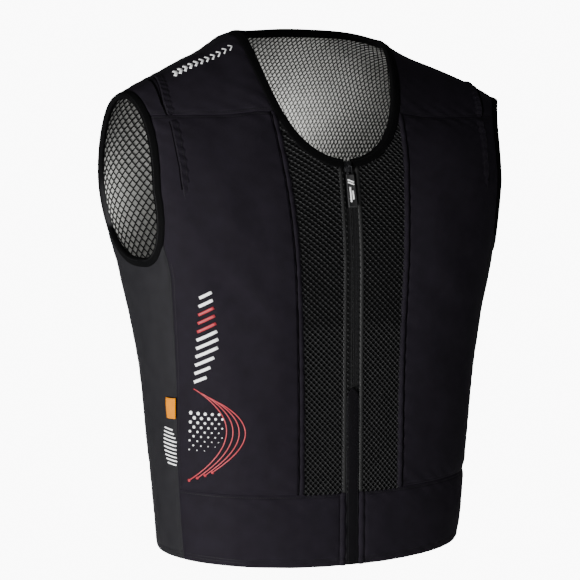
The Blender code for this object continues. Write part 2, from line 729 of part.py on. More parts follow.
# Pull: a wire link through the bail with a moulded tab on its lower end, both turning on the bail's
# eye. Their origin is the middle of the eye, which is the joint's axis
turned = Matrix.Rotation(-lean, 4, "X")
pivot = Vector(seat) + turned @ Vector((0, -eye_bottom - half_eye, 0))
wire = LINK_WIRE / 2
half_link = (LINK_WIDTH - LINK_WIRE) / 2
link_foot = -LINK_LENGTH + LINK_WIRE
corners = [
    (half_link - LINK_BEND, -LINK_BEND, 0), (-half_link + LINK_BEND, -LINK_BEND, 90),
    (-half_link + LINK_BEND, link_foot + LINK_BEND, 180),
    (half_link - LINK_BEND, link_foot + LINK_BEND, 270),
]


def link_curve(radius, name):
    """The link's wire, as a closed curve with a round section."""
    points = []
    for x, z, first_angle in corners:
        for step in range(4):
            angle = math.radians(first_angle + 30 * step)
            points.append((x + LINK_BEND * math.cos(angle), 0, z + LINK_BEND * math.sin(angle)))
    curve = bpy.data.curves.new(name, "CURVE")
    curve.dimensions = "3D"
    curve.bevel_depth = radius
    curve.bevel_resolution = 1
    spline = curve.splines.new("POLY")
    spline.points.add(len(points) - 1)
    for point, place in zip(spline.points, points):
        point.co = (*place, 1)
    spline.use_cyclic_u = True
    return curve


link = add_object("pull_link", link_curve(wire, "pull_link"), "zip_metal")
link.location = pivot
link.rotation_euler = (-lean, 0, 0)

# The tab is moulded round the link's lower bar: its seat is the wire grown by the clearance
socket_curve = bpy.data.objects.new("socket_curve", link_curve(wire + CLEARANCE, "socket_curve"))
guides.objects.link(socket_curve)
socket_mesh = bpy.data.meshes.new_from_object(socket_curve)
bpy.data.objects.remove(socket_curve)
socket = add_object("socket_guide", socket_mesh, "zip_metal", guides)
socket.location = pivot
socket.rotation_euler = (-lean, 0, 0)
socket.hide_render = True
socket.display_type = "WIRE"

tab_top = link_foot + TAB_LAP
bm = bmesh.new()
size = Matrix.Diagonal((TAB_WIDTH, TAB_THICKNESS, TAB_LENGTH, 1))
place = Matrix.Translation((0, 0, tab_top - TAB_LENGTH / 2))
bmesh.ops.create_cube(bm, size=1.0, matrix=place @ size)
corner_edges = [edge for edge in bm.edges if edge.verts[0].co.y * edge.verts[1].co.y < 0]
bmesh.ops.bevel(bm, geom=corner_edges, offset=TAB_CORNER, segments=2, affect="EDGES",
                profile=0.5, material=-1)
tab = add_object("pull_tab", finish_mesh(bm, "pull_tab"), "pull_rubber")
tab.location = pivot
tab.rotation_euler = (-lean, 0, 0)
cut = tab.modifiers.new("Seat", "BOOLEAN")
cut.operation = "DIFFERENCE"
cut.object = socket

# Woven tab: sewn into the right side seam, lying back over the side panel
label_height = levels_for(LABEL_HEIGHT, SIDE_SEAM_HEM_TURN, LABEL_LEVEL)
label_edge = side_seam(LABEL_LEVEL)
label_width = turns_for(LABEL_WIDTH, label_edge, LABEL_LEVEL)
level = rows((LABEL_LEVEL - label_height / 2, LABEL_LEVEL + label_height / 2), (3,))
turn = side_seam(level) + label_width * spread(2)
cloth("label_tab", "label", turn, level, SHELL_TOP + CLEARANCE, LABEL_THICKNESS, SIDES["right"])
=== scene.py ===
"""Airbag vest for motorcycling, dressed for the camera.

Lengths are metres. The wearer faces -Y, the wearer's left is +X and +Z is up. A place on the body is
(turn, level): turn is 0 at the centre front, 0.5 at the side and 1 at the centre back, negative on the
wearer's right; level is 0 at the hem, 1 at the chest line and 2 on the shoulder ridge.
"""

import math

import bmesh
import bpy
import numpy as np
from mathutils import Matrix, Vector


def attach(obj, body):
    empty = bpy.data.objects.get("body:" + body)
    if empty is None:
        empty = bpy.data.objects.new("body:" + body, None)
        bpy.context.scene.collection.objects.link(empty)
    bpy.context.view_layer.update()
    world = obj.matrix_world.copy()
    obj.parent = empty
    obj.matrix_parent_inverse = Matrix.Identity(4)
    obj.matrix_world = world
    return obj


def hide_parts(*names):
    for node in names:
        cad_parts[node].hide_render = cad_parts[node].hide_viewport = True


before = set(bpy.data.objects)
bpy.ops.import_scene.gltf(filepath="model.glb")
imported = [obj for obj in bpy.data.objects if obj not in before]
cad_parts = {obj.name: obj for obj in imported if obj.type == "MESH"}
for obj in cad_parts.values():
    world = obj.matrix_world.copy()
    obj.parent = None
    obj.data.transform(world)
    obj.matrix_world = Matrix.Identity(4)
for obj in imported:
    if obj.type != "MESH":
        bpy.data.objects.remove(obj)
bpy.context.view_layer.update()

# Camera: level with the shoulders, off the wearer's right, on a long lens. The look point lands a
# little right of the middle and below it, which the small shift makes
CAMERA_AZIMUTH = math.radians(-25.0)
CAMERA_DISTANCE = 3.0
CAMERA_HEIGHT = 0.02
LOOK_HEIGHT = -0.30
camera = bpy.data.objects.new("camera", bpy.data.cameras.new("camera"))
camera.location = (
    CAMERA_DISTANCE * math.sin(CAMERA_AZIMUTH), -CAMERA_DISTANCE * math.cos(CAMERA_AZIMUTH), CAMERA_HEIGHT,
)
aim = Vector((0, 0, LOOK_HEIGHT)) - camera.location
camera.rotation_euler = aim.to_track_quat("-Z", "Y").to_euler()
camera.data.sensor_width = 36.0
camera.data.lens = 160.1
camera.data.shift_x = -0.0319
camera.data.shift_y = 0.0095
bpy.context.scene.collection.objects.link(camera)
bpy.context.scene.camera = camera

# Studio: a broad soft light from the wearer's right, weak ones in front, overhead and behind, two small ones
# inside the vest that light the lining seen through the neck and the right armhole, and a pale floor.
# Each light has its place, the point it faces, its size and its power
LIGHTS = {
    "key_light": ((-2.7, -1.5, -0.90), (0, 0, LOOK_HEIGHT), 1.2, 235.0),
    "fill_light": ((0.6, -3.0, -0.40), (0, 0, LOOK_HEIGHT), 1.2, 28.0),
    "top_light": ((-0.6, 0.2, 2.2), (0, 0, LOOK_HEIGHT), 1.2, 10.0),
    "back_light": ((0.9, 2.9, -0.40), (0, 0, LOOK_HEIGHT), 1.4, 110.0),
    "neck_light": ((0.030, 0.065, -0.120), (0.040, 0.115, -0.108), 0.05, 0.060),
    "armhole_light": ((-0.226, 0.022, -0.190), (-0.216, 0.080, -0.180), 0.04, 0.12),
}
BACKDROP_STRENGTH = 10.0
AMBIENT_COLOUR = (0.95, 0.97, 1.0, 1.0)
AMBIENT_STRENGTH = 0.12
FLOOR_DROP = 1.35
FLOOR_RADIUS = 2.6
FLOOR_COLOUR = (0.85, 0.85, 0.85, 1.0)
FLOOR_ROUGHNESS = 0.8
for name, (place, target, size, power) in LIGHTS.items():
    lamp = bpy.data.lights.new(name, "AREA")
    lamp.size = size
    lamp.energy = power
    light = bpy.data.objects.new(name, lamp)
    light.location = place
    light.rotation_euler = (Vector(target) - light.location).to_track_quat("-Z", "Y").to_euler()
    light.visible_camera = False
    bpy.context.scene.collection.objects.link(light)

world = bpy.data.worlds.new("studio")
world.use_nodes = True
bpy.context.scene.world = world
sky = world.node_tree
backdrop = sky.nodes["Background"]
backdrop.inputs["Color"].default_value = (1.0, 1.0, 1.0, 1.0)
backdrop.inputs["Strength"].default_value = BACKDROP_STRENGTH
ambient = sky.nodes.new("ShaderNodeBackground")
ambient.inputs["Color"].default_value = AMBIENT_COLOUR
ambient.inputs["Strength"].default_value = AMBIENT_STRENGTH
ray = sky.nodes.new("ShaderNodeLightPath")
choice = sky.nodes.new("ShaderNodeMixShader")
sky.links.new(ray.outputs["Is Camera Ray"], choice.inputs["Fac"])
sky.links.new(ambient.outputs["Background"], choice.inputs[1])
sky.links.new(backdrop.outputs["Background"], choice.inputs[2])
sky.links.new(choice.outputs["Shader"], sky.nodes["World Output"].inputs["Surface"])

bm = bmesh.new()
bmesh.ops.create_circle(bm, cap_ends=True, segments=96, radius=FLOOR_RADIUS)
bmesh.ops.translate(bm, verts=bm.verts, vec=(0, 0, -FLOOR_DROP))
floor_mesh = bpy.data.meshes.new("floor")
bm.to_mesh(floor_mesh)
bm.free()
floor = bpy.data.objects.new("floor", floor_mesh)
bpy.context.scene.collection.objects.link(floor)
floor_paint = bpy.data.materials.new("floor_paint")
floor_paint.use_nodes = True
shader = floor_paint.node_tree.nodes["Principled BSDF"]
shader.inputs["Base Color"].default_value = FLOOR_COLOUR
shader.inputs["Roughness"].default_value = FLOOR_ROUGHNESS
floor_mesh.materials.append(floor_paint)

# Lining: a pale polyester cloth with a black net over it, cut as a back, two sides and two fronts. It is
# the layer against the wearer, so its section also sets out the form that every panel is laid on
HEM_DROP = 0.597
HEM_SIDE_RISE = 0.008
CHEST_DROP = 0.262
CHEST_HALF_WIDTH = 0.220
FRONT_DEPTH = 0.116
BACK_DEPTH = 0.128
NECK_HALF_WIDTH = 0.094
NECK_SEAT_DROP = 0.008
SHOULDER_HALF_WIDTH = 0.231
SHOULDER_DROP = 0.060
SHOULDER_FORWARD = 0.020
SHOULDER_ROUND = 0.035
FRONT_FULLNESS = 1.75
BACK_FULLNESS = 2.7
FULLNESS_TURN = 0.1875
FULLNESS_SPAN = 0.625
FRONT_NECK_DROP = 0.142
BACK_NECK_LEVEL = 1.700
# Level sections: widths are shares of CHEST_HALF_WIDTH, depths of FRONT_DEPTH and BACK_DEPTH, and square
# is 2 for an ellipse and more for a boxier section
SECTIONS = {
    "level": (0.00, 0.34, 0.68, 1.00, 1.30, 1.64, 2.00),
    "width": (0.806, 0.855, 0.908, 1.000, 1.115, 1.125, 1.085),
    "front": (0.97, 0.98, 0.99, 1.00, 1.00, 1.00, 1.00),
    "back": (0.88, 0.86, 0.90, 1.00, 1.02, 1.02, 1.02),
    "square": (2.3, 2.4, 2.4, 2.5, 2.5, 2.6, 2.8),
}
ARMHOLE_FOOT_TURN = 0.400
ARMHOLE_FRONT_TURN = 0.304
ARMHOLE_BACK_TURN = 0.615
ARMHOLE_FOOT_LEVEL = 1.045
ARMHOLE_WIDE_LEVEL = 1.320
ARMHOLE_FULLNESS = 0.8
ARMHOLE_TOP_BEND = 1.6
SIDE_SEAM_HEM_TURN = 0.392
SIDE_SEAM_CHEST_TURN = 0.320
SIDE_SEAM_BEND = 1.6
BACK_SEAM_TURN = 0.600
BINDING_WIDTH = 0.0090
TUCK = 0.0015
LINING_SETBACK = 0.0070
LINING_INSET = 0.0014
LINING_CLOTH = 0.0006
SIDES = {"right": -1, "left": 1}
# How the vest hangs above HANG_FOOT: the wearer's right side a little high and the left shoulder low, the
# right corner of the neck raised, the back of it low in the middle and the left edge of it drawn in
HANG_FOOT = -0.140
HANG_REACH = 0.090
RIGHT_RAISE = 0.0030
LEFT_DROP = 0.0125
LEFT_DROP_X = 0.100
LEFT_DROP_RUN = 0.027
CORNER_RAISE = 0.0060
CORNER_X = -0.095
CORNER_RUN = 0.025
NAPE_DROP = 0.0060
NAPE_RUN = 0.055
NECK_DRAW = 0.0100
NECK_DRAW_PLACE = (0.092, -0.040, -0.060)
NECK_DRAW_REACH = 0.110


def smooth_column(name, level):
    """A column of SECTIONS at a level, on a smooth curve through its rows."""
    levels = np.asarray(SECTIONS["level"])
    values = np.asarray(SECTIONS[name])
    level = np.clip(level, levels[0], levels[-1])
    gap = np.diff(levels)
    rise = np.diff(values) / gap
    slope = np.empty(len(levels))
    slope[1:-1] = (rise[:-1] * gap[1:] + rise[1:] * gap[:-1]) / (gap[:-1] + gap[1:])
    slope[0] = 1.5 * rise[0] - 0.5 * slope[1]
    slope[-1] = 1.5 * rise[-1] - 0.5 * slope[-2]
    row = np.clip(np.searchsorted(levels, level) - 1, 0, len(levels) - 2)
    share = (level - levels[row]) / gap[row]
    rest = 1 - share
    ends = (1 + 2 * share) * rest ** 2 * values[row] + share * share * (3 - 2 * share) * values[row + 1]
    bends = share * rest ** 2 * slope[row] + share * share * (share - 1) * slope[row + 1]
    return ends + gap[row] * bends


def rounded_square(angle, square):
    """A point of a unit rounded square: fore and across shares at an angle from fore."""
    fore = np.cos(angle)
    across = np.sin(angle)
    size = (np.abs(fore) ** square + np.abs(across) ** square) ** (1 / square)
    return fore / size, across / size


def ridge_height(x):
    """Height of the shoulder ridge at x from the middle."""
    near = math.hypot(NECK_HALF_WIDTH, SHOULDER_ROUND)
    far = math.hypot(SHOULDER_HALF_WIDTH, SHOULDER_ROUND)
    return -NECK_SEAT_DROP - SHOULDER_DROP * (np.hypot(x, SHOULDER_ROUND) - near) / (far - near)


def form_point(turn, level):
    """Points of the torso form."""
    turn, level = np.broadcast_arrays(np.asarray(turn, float), np.asarray(level, float))
    fore, across = rounded_square(np.abs(turn) * np.pi, smooth_column("square", level))
    front = FRONT_DEPTH * smooth_column("front", level)
    back = BACK_DEPTH * smooth_column("back", level)
    depth = np.where(fore > 0, front, back)
    back_share = np.clip((np.abs(turn) - FULLNESS_TURN) / FULLNESS_SPAN, 0, 1)
    fullness = FRONT_FULLNESS + (BACK_FULLNESS - FRONT_FULLNESS) * (0.5 - 0.5 * np.cos(np.pi * back_share))
    close, rise = rounded_square(np.clip(level - 1, 0, 1) * np.pi / 2, fullness)
    top_across = rounded_square(np.abs(turn) * np.pi, SECTIONS["square"][-1])[1]
    top_x = CHEST_HALF_WIDTH * SECTIONS["width"][-1] * top_across
    x = CHEST_HALF_WIDTH * smooth_column("width", level) * across * np.where(turn < 0, -1, 1)
    y = -depth * fore * close - SHOULDER_FORWARD * top_x / SHOULDER_HALF_WIDTH * (1 - close)
    hem = -HEM_DROP + HEM_SIDE_RISE * across ** 2
    wall = hem + (-CHEST_DROP - hem) * np.minimum(level, 1)
    z = wall + (ridge_height(top_x) + CHEST_DROP) * rise
    return np.stack([x, y, z], -1)


def form_slopes(turn, level):
    """Derivatives of the form along turn and along level."""
    step = 1e-4
    level = np.clip(level, step, 2 - 2 * step)
    along_turn = form_point(turn + step, level) - form_point(turn - step, level)
    along_level = form_point(turn, level + step) - form_point(turn, level - step)
    return along_turn / (2 * step), along_level / (2 * step)


def form_normal(turn, level):
    """Outward normals of the form."""
    normal = np.cross(*form_slopes(turn, level))
    return normal / np.linalg.norm(normal, axis=-1, keepdims=True)


def on_form(turn, level, out):
    """Points that lie `out` metres outside the form."""
    turn, level = np.broadcast_arrays(np.asarray(turn, float), np.asarray(level, float))
    return form_point(turn, level) + form_normal(turn, level) * np.asarray(out)[..., None]


def turn_at(x, level):
    """Turn of the front half at which the form is x from the middle."""
    square = smooth_column("square", level)
    across = np.clip(np.abs(x) / (CHEST_HALF_WIDTH * smooth_column("width", level)), 0, 1)
    return np.arctan2(across, (1 - across ** square) ** (1 / square)) / np.pi


def level_at(turn_of_level, height):
    """Level above the chest line at which a line on the form, given as turn by level, has a height."""
    low = np.ones(np.shape(height))
    high = np.full(np.shape(height), 2.0)
    for _ in range(40):
        middle = (low + high) / 2
        below = form_point(turn_of_level(middle), middle)[..., 2] < height
        low = np.where(below, middle, low)
        high = np.where(below, high, middle)
    return (low + high) / 2


def shifted(turn, level, distance):
    """A line on the form moved sideways over it, to the left of its own direction seen from outside."""
    points = form_point(turn, level)
    along = np.gradient(points, axis=0)
    along /= np.linalg.norm(along, axis=-1, keepdims=True)
    side = np.cross(form_normal(turn, level), along) * np.reshape(distance, (-1, 1))
    along_turn, along_level = form_slopes(turn, level)
    turn_size = np.sum(along_turn * along_turn, -1)
    skew = np.sum(along_turn * along_level, -1)
    level_size = np.sum(along_level * along_level, -1)
    over_turn = np.sum(side * along_turn, -1)
    over_level = np.sum(side * along_level, -1)
    area = turn_size * level_size - skew * skew
    turned = turn + (level_size * over_turn - skew * over_level) / area
    return turned, level + (turn_size * over_level - skew * over_turn) / area


def neck_line(angle, back):
    """The neckline on the wearer's left: angle 0 at the middle, pi / 2 on the shoulder ridge."""
    x = NECK_HALF_WIDTH * np.sin(angle)
    middle = np.cos(angle)
    if back:
        level = 2 - (2 - BACK_NECK_LEVEL) * middle
        return 1 - turn_at(x, level), level
    height = -NECK_SEAT_DROP - (FRONT_NECK_DROP - NECK_SEAT_DROP) * middle
    level = level_at(lambda level: turn_at(x, level), height)
    return turn_at(x, level), level


def armhole_line(angle, back):
    """Half of the left armhole's loop: angle 0 at its foot, pi on the shoulder ridge."""
    widest = ARMHOLE_BACK_TURN if back else ARMHOLE_FRONT_TURN
    widest_x = form_point(widest, ARMHOLE_WIDE_LEVEL)[..., 0]
    climb = -np.cos(angle)
    foot_level = ARMHOLE_WIDE_LEVEL + (ARMHOLE_WIDE_LEVEL - ARMHOLE_FOOT_LEVEL) * climb
    foot_share = np.abs(np.sin(angle)) ** ARMHOLE_FULLNESS
    foot_turn = ARMHOLE_FOOT_TURN + (widest - ARMHOLE_FOOT_TURN) * foot_share
    top_level = ARMHOLE_WIDE_LEVEL + (2 - ARMHOLE_WIDE_LEVEL) * climb
    share = np.clip(climb, 0, 1) ** ARMHOLE_TOP_BEND
    top_x = widest_x + (SHOULDER_HALF_WIDTH - widest_x) * share ** 2 * (3 - 2 * share)
    top_turn = turn_at(top_x, top_level)
    top_turn = 1 - top_turn if back else top_turn
    lower = climb <= 0
    return np.where(lower, foot_turn, top_turn), np.where(lower, foot_level, top_level)


# The panels end a little way under the binding tape
EDGE_SHIFT = BINDING_WIDTH / 2 - TUCK
QUARTER = np.linspace(0.0, math.pi / 2, 241)
HALF = np.linspace(0.0, math.pi, 481)
NECK_FRONT = shifted(*neck_line(QUARTER, False), -EDGE_SHIFT)
NECK_BACK = shifted(*neck_line(QUARTER, True), EDGE_SHIFT)
ARM_FRONT = shifted(*armhole_line(HALF, False), EDGE_SHIFT)
ARM_BACK = shifted(*armhole_line(HALF, True), -EDGE_SHIFT)


def side_seam(level):
    """Turn of the seam between the front panel and the side panel."""
    share = np.minimum(level, 1.0) ** SIDE_SEAM_BEND
    return SIDE_SEAM_HEM_TURN + (SIDE_SEAM_CHEST_TURN - SIDE_SEAM_HEM_TURN) * share


def back_seam(level):
    """Turn of the seam between the side panel and the back."""
    return BACK_SEAM_TURN + 0 * level


def meeting(line, seam):
    """Level at which a seam, given as turn by level, first crosses an edge line."""
    gap = line[0] - seam(line[1])
    first = np.nonzero((gap[1:] > 0) != (gap[:-1] > 0))[0][0]
    share = gap[first] / (gap[first] - gap[first + 1])
    return line[1][first] + (line[1][first + 1] - line[1][first]) * share


ARM_SIDE_LEVEL = meeting(ARM_FRONT, side_seam)
ARM_BACK_LEVEL = meeting(ARM_BACK, back_seam)


def front_outer(level):
    """Outer edge of the front: the side seam, then the armhole."""
    arm = np.interp(level, ARM_FRONT[1], ARM_FRONT[0])
    return np.where(level < ARM_SIDE_LEVEL, side_seam(level), arm)


def back_outer(level):
    """Outer edge of the back: the back side seam, then the armhole."""
    arm = np.interp(level, ARM_BACK[1], ARM_BACK[0])
    return np.where(level < ARM_BACK_LEVEL, BACK_SEAM_TURN, arm)


def lining_inner(level):
    """Inner edge of a lining front: set back from the zip, then along the neck."""
    neck = np.interp(level, NECK_FRONT[1], NECK_FRONT[0])
    return np.maximum(turn_at(LINING_SETBACK, level), np.where(level < NECK_FRONT[1][0], 0, neck))


def shares(*runs):
    """Shares across a panel, from runs of (end, step count)."""
    made = [np.zeros(1)]
    for end, count in runs:
        made.append(np.linspace(made[-1][-1], end, count + 1)[1:])
    return np.concatenate(made)


EDGES = ("left", "right", "low", "high")


def across_panel(left, right, level, share):
    """Turns at shares of the way from one edge to another, both given as turn by level."""
    return left(level) + (right(level) - left(level)) * share


def lay(left, right, low, high, across, up):
    """Turns and levels of a grid over a panel, and a finder of the column and row of a place on it.

    Left and right are edges as turn by level, low and high are levels, and across and up are shares.
    """
    low, high = (np.broadcast_to(edge, across.shape) for edge in (low, high))
    level = low + (high - low) * up[:, None]

    def find(turn, level):
        """Column and row of a place."""
        share = (turn - left(level)) / (right(level) - left(level))
        foot, top = np.interp(share, across, low), np.interp(share, across, high)
        column = np.interp(share, across, np.arange(len(across)))
        return column, np.interp((level - foot) / (top - foot), up, np.arange(len(up)))

    return across_panel(left, right, level, across), level, find


def measured(points):
    """Distances over a grid of points from its left, right, low and high edges."""
    across = np.linalg.norm(np.diff(points, axis=1), axis=2)
    up = np.linalg.norm(np.diff(points, axis=0), axis=2)
    from_left = np.pad(np.cumsum(across, axis=1), ((0, 0), (1, 0)))
    from_low = np.pad(np.cumsum(up, axis=0), ((1, 0), (0, 0)))
    return from_left, from_left[:, -1:] - from_left, from_low, from_low[-1:] - from_low


def run_along(points):
    """Distances along a line of points, from its start to each of them."""
    return np.concatenate([[0], np.cumsum(np.linalg.norm(np.diff(points, axis=0), axis=1))])


def hung(points):
    """Points of the form moved to where they hang."""
    x = points[..., 0]
    height = np.clip((points[..., 2] - HANG_FOOT) / HANG_REACH, 0, 1)
    lift = RIGHT_RAISE - LEFT_DROP * (0.5 + 0.5 * np.tanh((x - LEFT_DROP_X) / LEFT_DROP_RUN))
    lift = lift + CORNER_RAISE * np.exp(-((x - CORNER_X) / CORNER_RUN) ** 2)
    lift = lift - NAPE_DROP * np.exp(-(x / NAPE_RUN) ** 2)
    away = np.linalg.norm(points - np.array(NECK_DRAW_PLACE), axis=-1) / NECK_DRAW_REACH
    moved = np.array(points)
    moved[..., 0] -= NECK_DRAW * np.clip(1 - away ** 2, 0, 1) ** 2
    moved[..., 2] += lift * height ** 2 * (3 - 2 * height)
    return moved


def add_piece(name, bm, material, nodes=(), body="vest", smooth_angle=50):
    """An object for a finished bmesh, hung as the vest hangs, riding on a body and standing for CAD nodes."""
    for vert, spot in zip(bm.verts, hung(np.array([vert.co for vert in bm.verts]))):
        vert.co = spot
    mesh = bpy.data.meshes.new(name)
    bm.to_mesh(mesh)
    bm.free()
    mesh.shade_smooth()
    mesh.set_sharp_from_angle(angle=math.radians(smooth_angle))
    mesh.materials.append(material)
    piece = bpy.data.objects.new(name, mesh)
    bpy.context.scene.collection.objects.link(piece)
    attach(piece, body)
    if nodes:
        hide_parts(*nodes)
    return piece


def thicken(piece, wall):
    """Give a sheet its wall, outward."""
    solid = piece.modifiers.new("Wall", "SOLIDIFY")
    solid.thickness = wall
    solid.offset = 1.0


def grid_mesh(points, across, up):
    """A bmesh through a grid of points, with a UV map in metres from the distances across and up it."""
    rows, columns = points.shape[:2]
    bm = bmesh.new()
    uv = bm.loops.layers.uv.new("cloth")
    bmesh.ops.create_grid(bm, x_segments=columns - 1, y_segments=rows - 1, size=1.0)
    place = {}
    for vert in bm.verts:
        column = round((vert.co.x + 1) / 2 * (columns - 1))
        row = round((vert.co.y + 1) / 2 * (rows - 1))
        place[vert] = (across[row, column], up[row, column])
        vert.co = points[row, column]
    for face in bm.faces:
        for loop in face.loops:
            loop[uv].uv = place[loop.vert]
    return bm


def skin(name, points, normals, wall, material, nodes, slot, find=None):
    """A cloth through a grid of points, with a wall and a UV map in metres along its width and height."""
    gaps = measured(points)
    bm = grid_mesh(points, gaps[0], gaps[2])
    bm.normal_update()
    facing = sum((face.normal * face.calc_area() for face in bm.faces), Vector())
    if facing.dot(Vector(normals.mean(axis=(0, 1)))) < 0:
        bmesh.ops.reverse_faces(bm, faces=bm.faces)
    piece = add_piece(name, bm, material, nodes)
    thicken(piece, wall)
    return {"piece": piece, "skin": points + normals * wall, "normal": normals, "gaps": gaps, "find": find}


def cloth(name, turn, level, out, wall, material, nodes, slot, side=1, find=None):
    """A panel laid on the form, out metres from it."""
    points, normals = on_form(turn * side, level, out), form_normal(turn * side, level)
    return skin(name, points, normals, wall, material, nodes, slot, find)


def new_group(name, inputs, outputs):
    """An empty shader node group with its sockets, and its input and output nodes."""
    group = bpy.data.node_groups.new(name, "ShaderNodeTree")
    for label, kind, value in inputs:
        socket = group.interface.new_socket(label, in_out="INPUT", socket_type=kind)
        if value is not None:
            socket.default_value = value
    for label, kind in outputs:
        group.interface.new_socket(label, in_out="OUTPUT", socket_type=kind)
    return group, group.nodes.new("NodeGroupInput"), group.nodes.new("NodeGroupOutput")


def maths(tree, operation, *values):
    """A Math node fed by sockets or numbers."""
    node = tree.nodes.new("ShaderNodeMath")
    node.operation = operation
    for socket, value in zip(node.inputs, values):
        if isinstance(value, (int, float)):
            socket.default_value = value
        else:
            tree.links.new(value, socket)
    return node.outputs[0]


# Plain weave: threads that pass over and under each other, with a slow unevenness
weave, weave_in, weave_out = new_group(
    "plain_weave",
    [("Vector", "NodeSocketVector", None), ("Threads", "NodeSocketFloat", 1500.0),
     ("Unevenness", "NodeSocketFloat", 60.0)],
    [("Height", "NodeSocketFloat"), ("Tone", "NodeSocketFloat")],
)
scaled = weave.nodes.new("ShaderNodeVectorMath")
scaled.operation = "SCALE"
weave.links.new(weave_in.outputs["Vector"], scaled.inputs[0])
weave.links.new(weave_in.outputs["Threads"], scaled.inputs["Scale"])
parts = weave.nodes.new("ShaderNodeSeparateXYZ")
weave.links.new(scaled.outputs["Vector"], parts.inputs[0])
warp, weft = (
    maths(weave, "ABSOLUTE", maths(weave, "SINE", maths(weave, "MULTIPLY", parts.outputs[axis], math.pi)))
    for axis in "XY"
)
over = weave.nodes.new("ShaderNodeTexChecker")
over.inputs["Scale"].default_value = 1.0
over.inputs["Color1"].default_value = (1, 1, 1, 1)
over.inputs["Color2"].default_value = (0, 0, 0, 1)
weave.links.new(scaled.outputs["Vector"], over.inputs["Vector"])
threads = weave.nodes.new("ShaderNodeMix")
weave.links.new(over.outputs["Fac"], threads.inputs["Factor"])
weave.links.new(warp, threads.inputs["A"])
weave.links.new(weft, threads.inputs["B"])
slow = weave.nodes.new("ShaderNodeTexNoise")
slow.inputs["Detail"].default_value = 5.0
weave.links.new(weave_in.outputs["Vector"], slow.inputs["Vector"])
weave.links.new(weave_in.outputs["Unevenness"], slow.inputs["Scale"])
weave.links.new(threads.outputs["Result"], weave_out.inputs["Height"])
weave.links.new(slow.outputs["Fac"], weave_out.inputs["Tone"])


# Painted shade and light in the weave: a cloth's tone in the gaps between its threads, and what is added on
# the threads' crowns, both as shares of its slow tone
GAP_SHADE_SHARE = 0.6
CROWN_LIGHT_SHARE = 0.5
WEAVE_BUMP = 0.35


def cloth_material(name, dark, light, threads_per_metre, depth, roughness, specular):
    """A woven cloth: two tones, painted shade in the gaps of its weave, and a bump from the weave."""
    material = bpy.data.materials.new(name)
    material.use_nodes = True
    tree = material.node_tree
    shader = tree.nodes["Principled BSDF"]
    shader.inputs["Roughness"].default_value = roughness
    shader.inputs["Specular IOR Level"].default_value = specular
    uv = tree.nodes.new("ShaderNodeUVMap")
    uv.uv_map = "cloth"
    group = tree.nodes.new("ShaderNodeGroup")
    group.node_tree = weave
    group.inputs["Threads"].default_value = threads_per_metre
    tree.links.new(uv.outputs["UV"], group.inputs["Vector"])
    tones = tree.nodes.new("ShaderNodeMix")
    tones.data_type = "RGBA"
    tones.inputs["A"].default_value = (*dark, 1)
    tones.inputs["B"].default_value = (*light, 1)
    # Painted shade: the base colour is darker in the gaps between the threads and lighter on their crowns
    raised = maths(tree, "MULTIPLY_ADD", group.outputs["Height"], CROWN_LIGHT_SHARE, GAP_SHADE_SHARE)
    tree.links.new(maths(tree, "MULTIPLY", group.outputs["Tone"], raised), tones.inputs["Factor"])
    tree.links.new(tones.outputs["Result"], shader.inputs["Base Color"])
    bump = tree.nodes.new("ShaderNodeBump")
    bump.inputs["Strength"].default_value = WEAVE_BUMP
    bump.inputs["Distance"].default_value = depth
    tree.links.new(group.outputs["Height"], bump.inputs["Height"])
    tree.links.new(bump.outputs["Normal"], shader.inputs["Normal"])
    return material


def net(name, width, height, sizes, place, keep, material):
    """A net of pointed cells, made flat in metres and laid on the form by place(x, y).

    Sizes are a cell's width, the pitch of the rows, how far points stand out and the strand's width. Each
    strand is a ridge: its middle line lies at ridge from the form, and its two feet at foot.
    """
    columns = 2 * round(width / sizes["cell"])
    rows = round(height / sizes["pitch"])
    bm = bmesh.new()
    uv = bm.loops.layers.uv.new("cloth")
    bmesh.ops.create_grid(bm, x_segments=columns, y_segments=rows, size=0.5)
    index = {vert: (round((vert.co.x + 0.5) * columns), round((vert.co.y + 0.5) * rows)) for vert in bm.verts}
    spare = []
    for edge in bm.edges:
        (i, j), (next_i, next_j) = index[edge.verts[0]], index[edge.verts[1]]
        if i == next_i and 0 < i < columns and (i + min(j, next_j)) % 2:
            spare.append(edge)
    for vert, (i, j) in index.items():
        rise = sizes["point"] if (i + j) % 2 == 0 else -sizes["point"]
        vert.co = ((i / columns - 0.5) * width, j / rows * height + rise, 0)
    bmesh.ops.dissolve_edges(bm, edges=spare, use_verts=False, use_face_split=False)
    centres = np.array([face.calc_center_median() for face in bm.faces])
    kept = keep(*place(centres[:, 0], centres[:, 1]))
    bmesh.ops.delete(bm, geom=[face for face, keeps in zip(bm.faces, kept) if not keeps], context="FACES")
    holes = bm.faces[:]
    bmesh.ops.inset_individual(bm, faces=holes, thickness=sizes["strand"] / 2, use_even_offset=True)
    feet = {vert for face in holes for vert in face.verts}
    for face in bm.faces:
        for loop in face.loops:
            loop[uv].uv = loop.vert.co.xy
    bmesh.ops.delete(bm, geom=holes, context="FACES_ONLY")
    flat = np.array([vert.co for vert in bm.verts])
    out = np.array([sizes["foot" if vert in feet else "ridge"] for vert in bm.verts])
    points = on_form(*place(flat[:, 0], flat[:, 1]), out)
    for vert, spot in zip(bm.verts, points):
        vert.co = spot
    bmesh.ops.recalc_face_normals(bm, faces=bm.faces)
    return add_piece(name, bm, material)


LINING_NET = {
    "cell": 0.0064, "pitch": 0.0050, "point": 0.0021, "strand": 0.0013, "ridge": 0.0001, "foot": 0.0015,
}
lining_cloth = cloth_material("lining_cloth", (0.30, 0.30, 0.285), (0.52, 0.52, 0.495), 900, 0.0002, 0.4, 0.5)
net_yarn = cloth_material("net_yarn", (0.0015, 0.0015, 0.0015), (0.004, 0.004, 0.004), 1500, 0.0001, 0.6, 0.3)

LEVELS = np.linspace(0.0, 2.0, 401)


